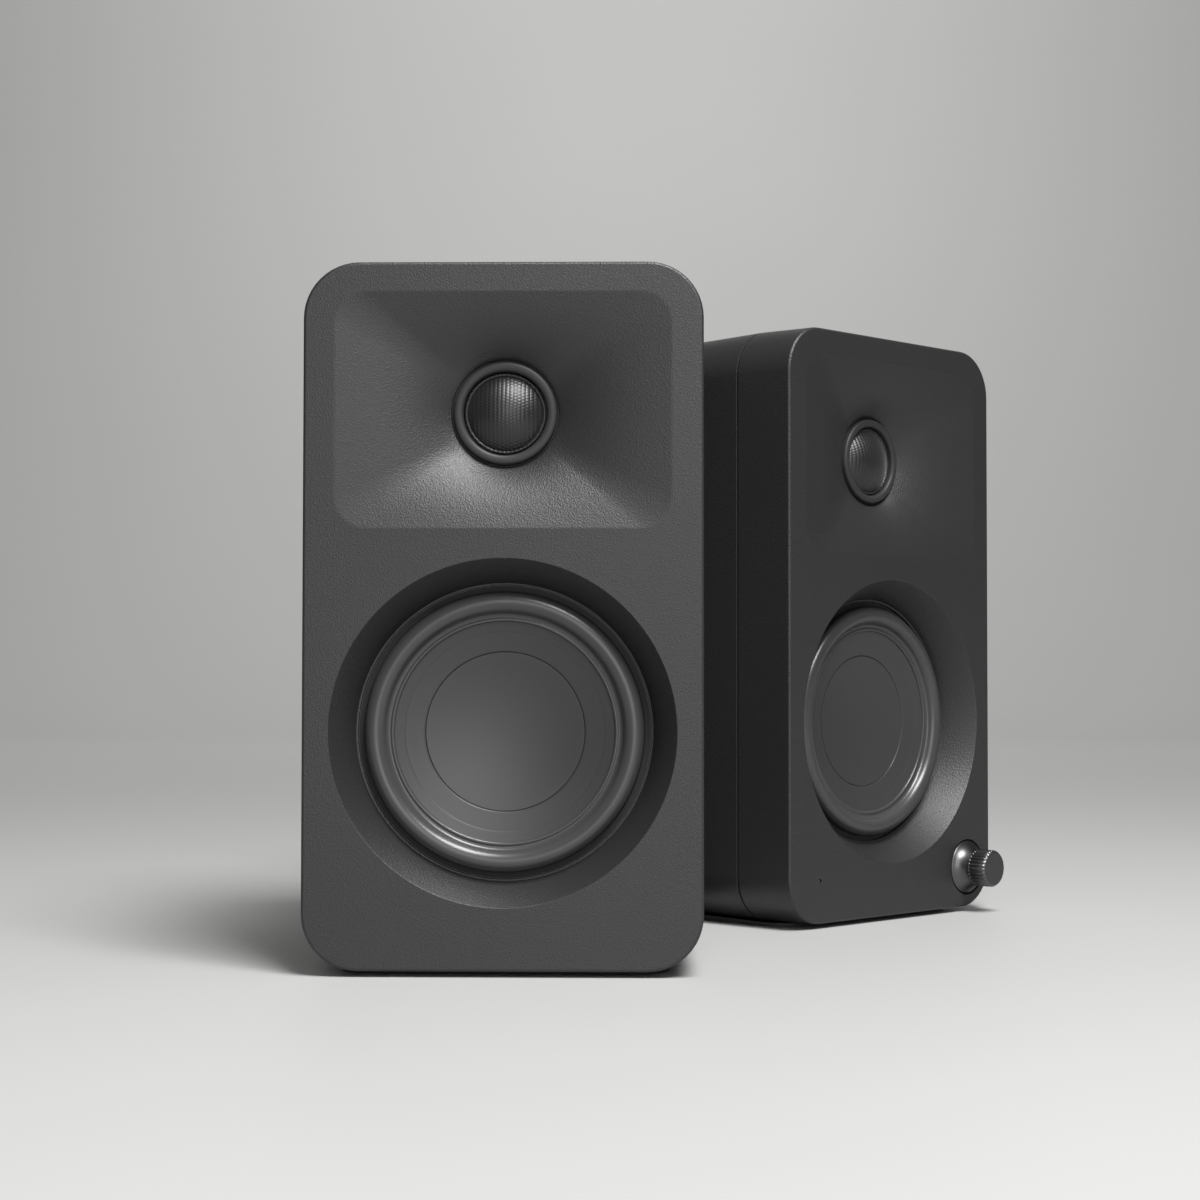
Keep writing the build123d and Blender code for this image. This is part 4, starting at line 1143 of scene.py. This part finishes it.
class SPEAKERS_OT_cabinets(bpy.types.Operator):
    """Build the front mouldings, rear mouldings, seam strips, base pads, ports, thread bushes and screws"""
    bl_idname = "speakers.cabinets"
    bl_label = "Cabinets"

    def execute(self, context):
        for side in SIDES:
            for make in (baffle, tub, seam_strip, foot_pad, port_flare, thread_bush, fixings):
                make(side)
        return {"FINISHED"}


class SPEAKERS_OT_woofers(bpy.types.Operator):
    """Build the surrounds, cones and dust caps"""
    bl_idname = "speakers.woofers"
    bl_label = "Woofers"

    def execute(self, context):
        for side in SIDES:
            for make in (surround, cone_ring, centre_cap):
                make(side)
        return {"FINISHED"}


class SPEAKERS_OT_tweeters(bpy.types.Operator):
    """Build the rings and silk domes"""
    bl_idname = "speakers.tweeters"
    bl_label = "Tweeters"

    def execute(self, context):
        for side in SIDES:
            throat_ring(side)
            silk_dome(side)
        return {"FINISHED"}


class SPEAKERS_OT_controls(bpy.types.Operator):
    """Build the volume knob and the lamp of the active cabinet"""
    bl_idname = "speakers.controls"
    bl_label = "Front controls"

    def execute(self, context):
        knob_piece()
        lamp_piece()
        return {"FINISHED"}


class SPEAKERS_OT_connectors(bpy.types.Operator):
    """Build the back plates, sockets and the swap switch"""
    bl_idname = "speakers.connectors"
    bl_label = "Connectors"

    def execute(self, context):
        for side in SIDES:
            back_plate(side)
            link_piece(side)
        for make in (phono_pieces, usb_piece, power_piece, swap_piece):
            make()
        return {"FINISHED"}


class SPEAKERS_OT_inner_parts(bpy.types.Operator):
    """Give the motors, spiders, leads and electronics their finishes"""
    bl_idname = "speakers.inner_parts"
    bl_label = "Inner parts"

    def execute(self, context):
        for side in SIDES:
            for part, surface in INNER.items():
                dress(f"{side}_{part}", surface)
        for part, surface in ELECTRONICS.items():
            dress(part, surface)
        return {"FINISHED"}


def lamp(name, energy, size, place, aim, tint=(1, 1, 1), size_y=None):
    """Area light that looks at a point."""
    light = bpy.data.lights.new(name, "AREA")
    light.energy, light.size, light.color = energy, size, tint
    if size_y:
        light.shape, light.size_y = "RECTANGLE", size_y
    made = bpy.data.objects.new(name, light)
    made.visible_camera = False
    made.location = place
    made.rotation_euler = (Vector(aim) - Vector(place)).to_track_quat("-Z", "Y").to_euler()
    bpy.context.scene.collection.objects.link(made)
    return made


class SPEAKERS_OT_stage(bpy.types.Operator):
    """Set up the floor, the soft lights and the camera"""
    bl_idname = "speakers.stage"
    bl_label = "Stage"

    def execute(self, context):
        scene = context.scene
        bm = bmesh.new()
        bmesh.ops.create_grid(bm, x_segments=1, y_segments=1, size=1.0,
                              matrix=Matrix.Translation((0, -2.4, 0)) @ Matrix.Diagonal((8.0, 5.6, 1.0, 1.0)))
        far = max(bm.edges, key=lambda edge: sum(vert.co.y for vert in edge.verts))
        drawn = bmesh.ops.extrude_edge_only(bm, edges=[far])["geom"]
        for vert in drawn_on(drawn)[0]:
            vert.co.z += 3.0
        bmesh.ops.bevel(bm, geom=[far], offset=1.2, offset_type="OFFSET", segments=24, profile=0.5,
                        affect="EDGES", material=-1)
        mesh = bpy.data.meshes.new("studio_floor")
        bm.to_mesh(mesh)
        bm.free()
        mesh.shade_smooth()
        mesh.materials.append(named("Pale floor"))
        floor = bpy.data.objects.new("studio_floor", mesh)
        scene.collection.objects.link(floor)
        world = bpy.data.worlds.new("Studio")
        world.use_nodes = True
        world.node_tree.nodes["Background"].inputs["Color"].default_value = (1, 1, 1, 1)
        world.node_tree.nodes["Background"].inputs["Strength"].default_value = 0.12
        scene.world = world
        lamp("Key", 31.0, 0.45, (0.34, -0.60, 1.12), (0.04, 0.0, 0.08), size_y=0.75)
        lamp("Front fill", 8.0, 0.9, (0.25, -1.60, 0.40), (0.04, 0.0, 0.09))
        lamp("Backdrop", 40.0, 1.6, (0.0, 1.60, 2.10), (0.0, 3.1, 0.9))
        scene.view_settings.view_transform = "Standard"
        lens = bpy.data.cameras.new("Camera")
        lens.lens, lens.sensor_width = 68.82, 36.0
        lens.clip_start = 0.01
        camera = bpy.data.objects.new("Camera", lens)
        camera.location = (0.036136, -0.634646, 0.075678)
        camera.rotation_euler = (pi / 2 + 0.0314, -0.0012, 0.0209)
        scene.collection.objects.link(camera)
        scene.camera = camera
        return {"FINISHED"}


class SPEAKERS_PT_build(bpy.types.Panel):
    """Sizes, colours and build steps of the speaker pair"""
    bl_label = "Speaker pair"
    bl_idname = "SPEAKERS_PT_build"
    bl_space_type = "VIEW_3D"
    bl_region_type = "UI"
    bl_category = "Speakers"

    def draw(self, context):
        for heading, settings, kind in (("Sizes", context.scene.speaker_sizes, SpeakerSizes),
                                        ("Colours", context.scene.speaker_colours, SpeakerColours)):
            area = self.layout.box()
            area.label(text=heading)
            for key in kind.__annotations__:
                area.prop(settings, key)
        steps = self.layout.column()
        for step in STEPS:
            steps.operator(step.bl_idname)


STEPS = (SPEAKERS_OT_finishes, SPEAKERS_OT_cabinets, SPEAKERS_OT_woofers, SPEAKERS_OT_tweeters,
         SPEAKERS_OT_controls, SPEAKERS_OT_connectors, SPEAKERS_OT_inner_parts, SPEAKERS_OT_stage)
CLASSES = (SpeakerSizes, SpeakerColours, *STEPS, SPEAKERS_PT_build)


def register():
    for item in CLASSES:
        bpy.utils.register_class(item)
    bpy.types.Scene.speaker_sizes = PointerProperty(type=SpeakerSizes)
    bpy.types.Scene.speaker_colours = PointerProperty(type=SpeakerColours)


def unregister():
    del bpy.types.Scene.speaker_colours
    del bpy.types.Scene.speaker_sizes
    for item in reversed(CLASSES):
        bpy.utils.unregister_class(item)


def main():
    register()
    for step in STEPS:
        group_name, action = step.bl_idname.split(".")
        getattr(getattr(bpy.ops, group_name), action)()
    bpy.context.view_layer.update()


if __name__ == "__main__":
    main()
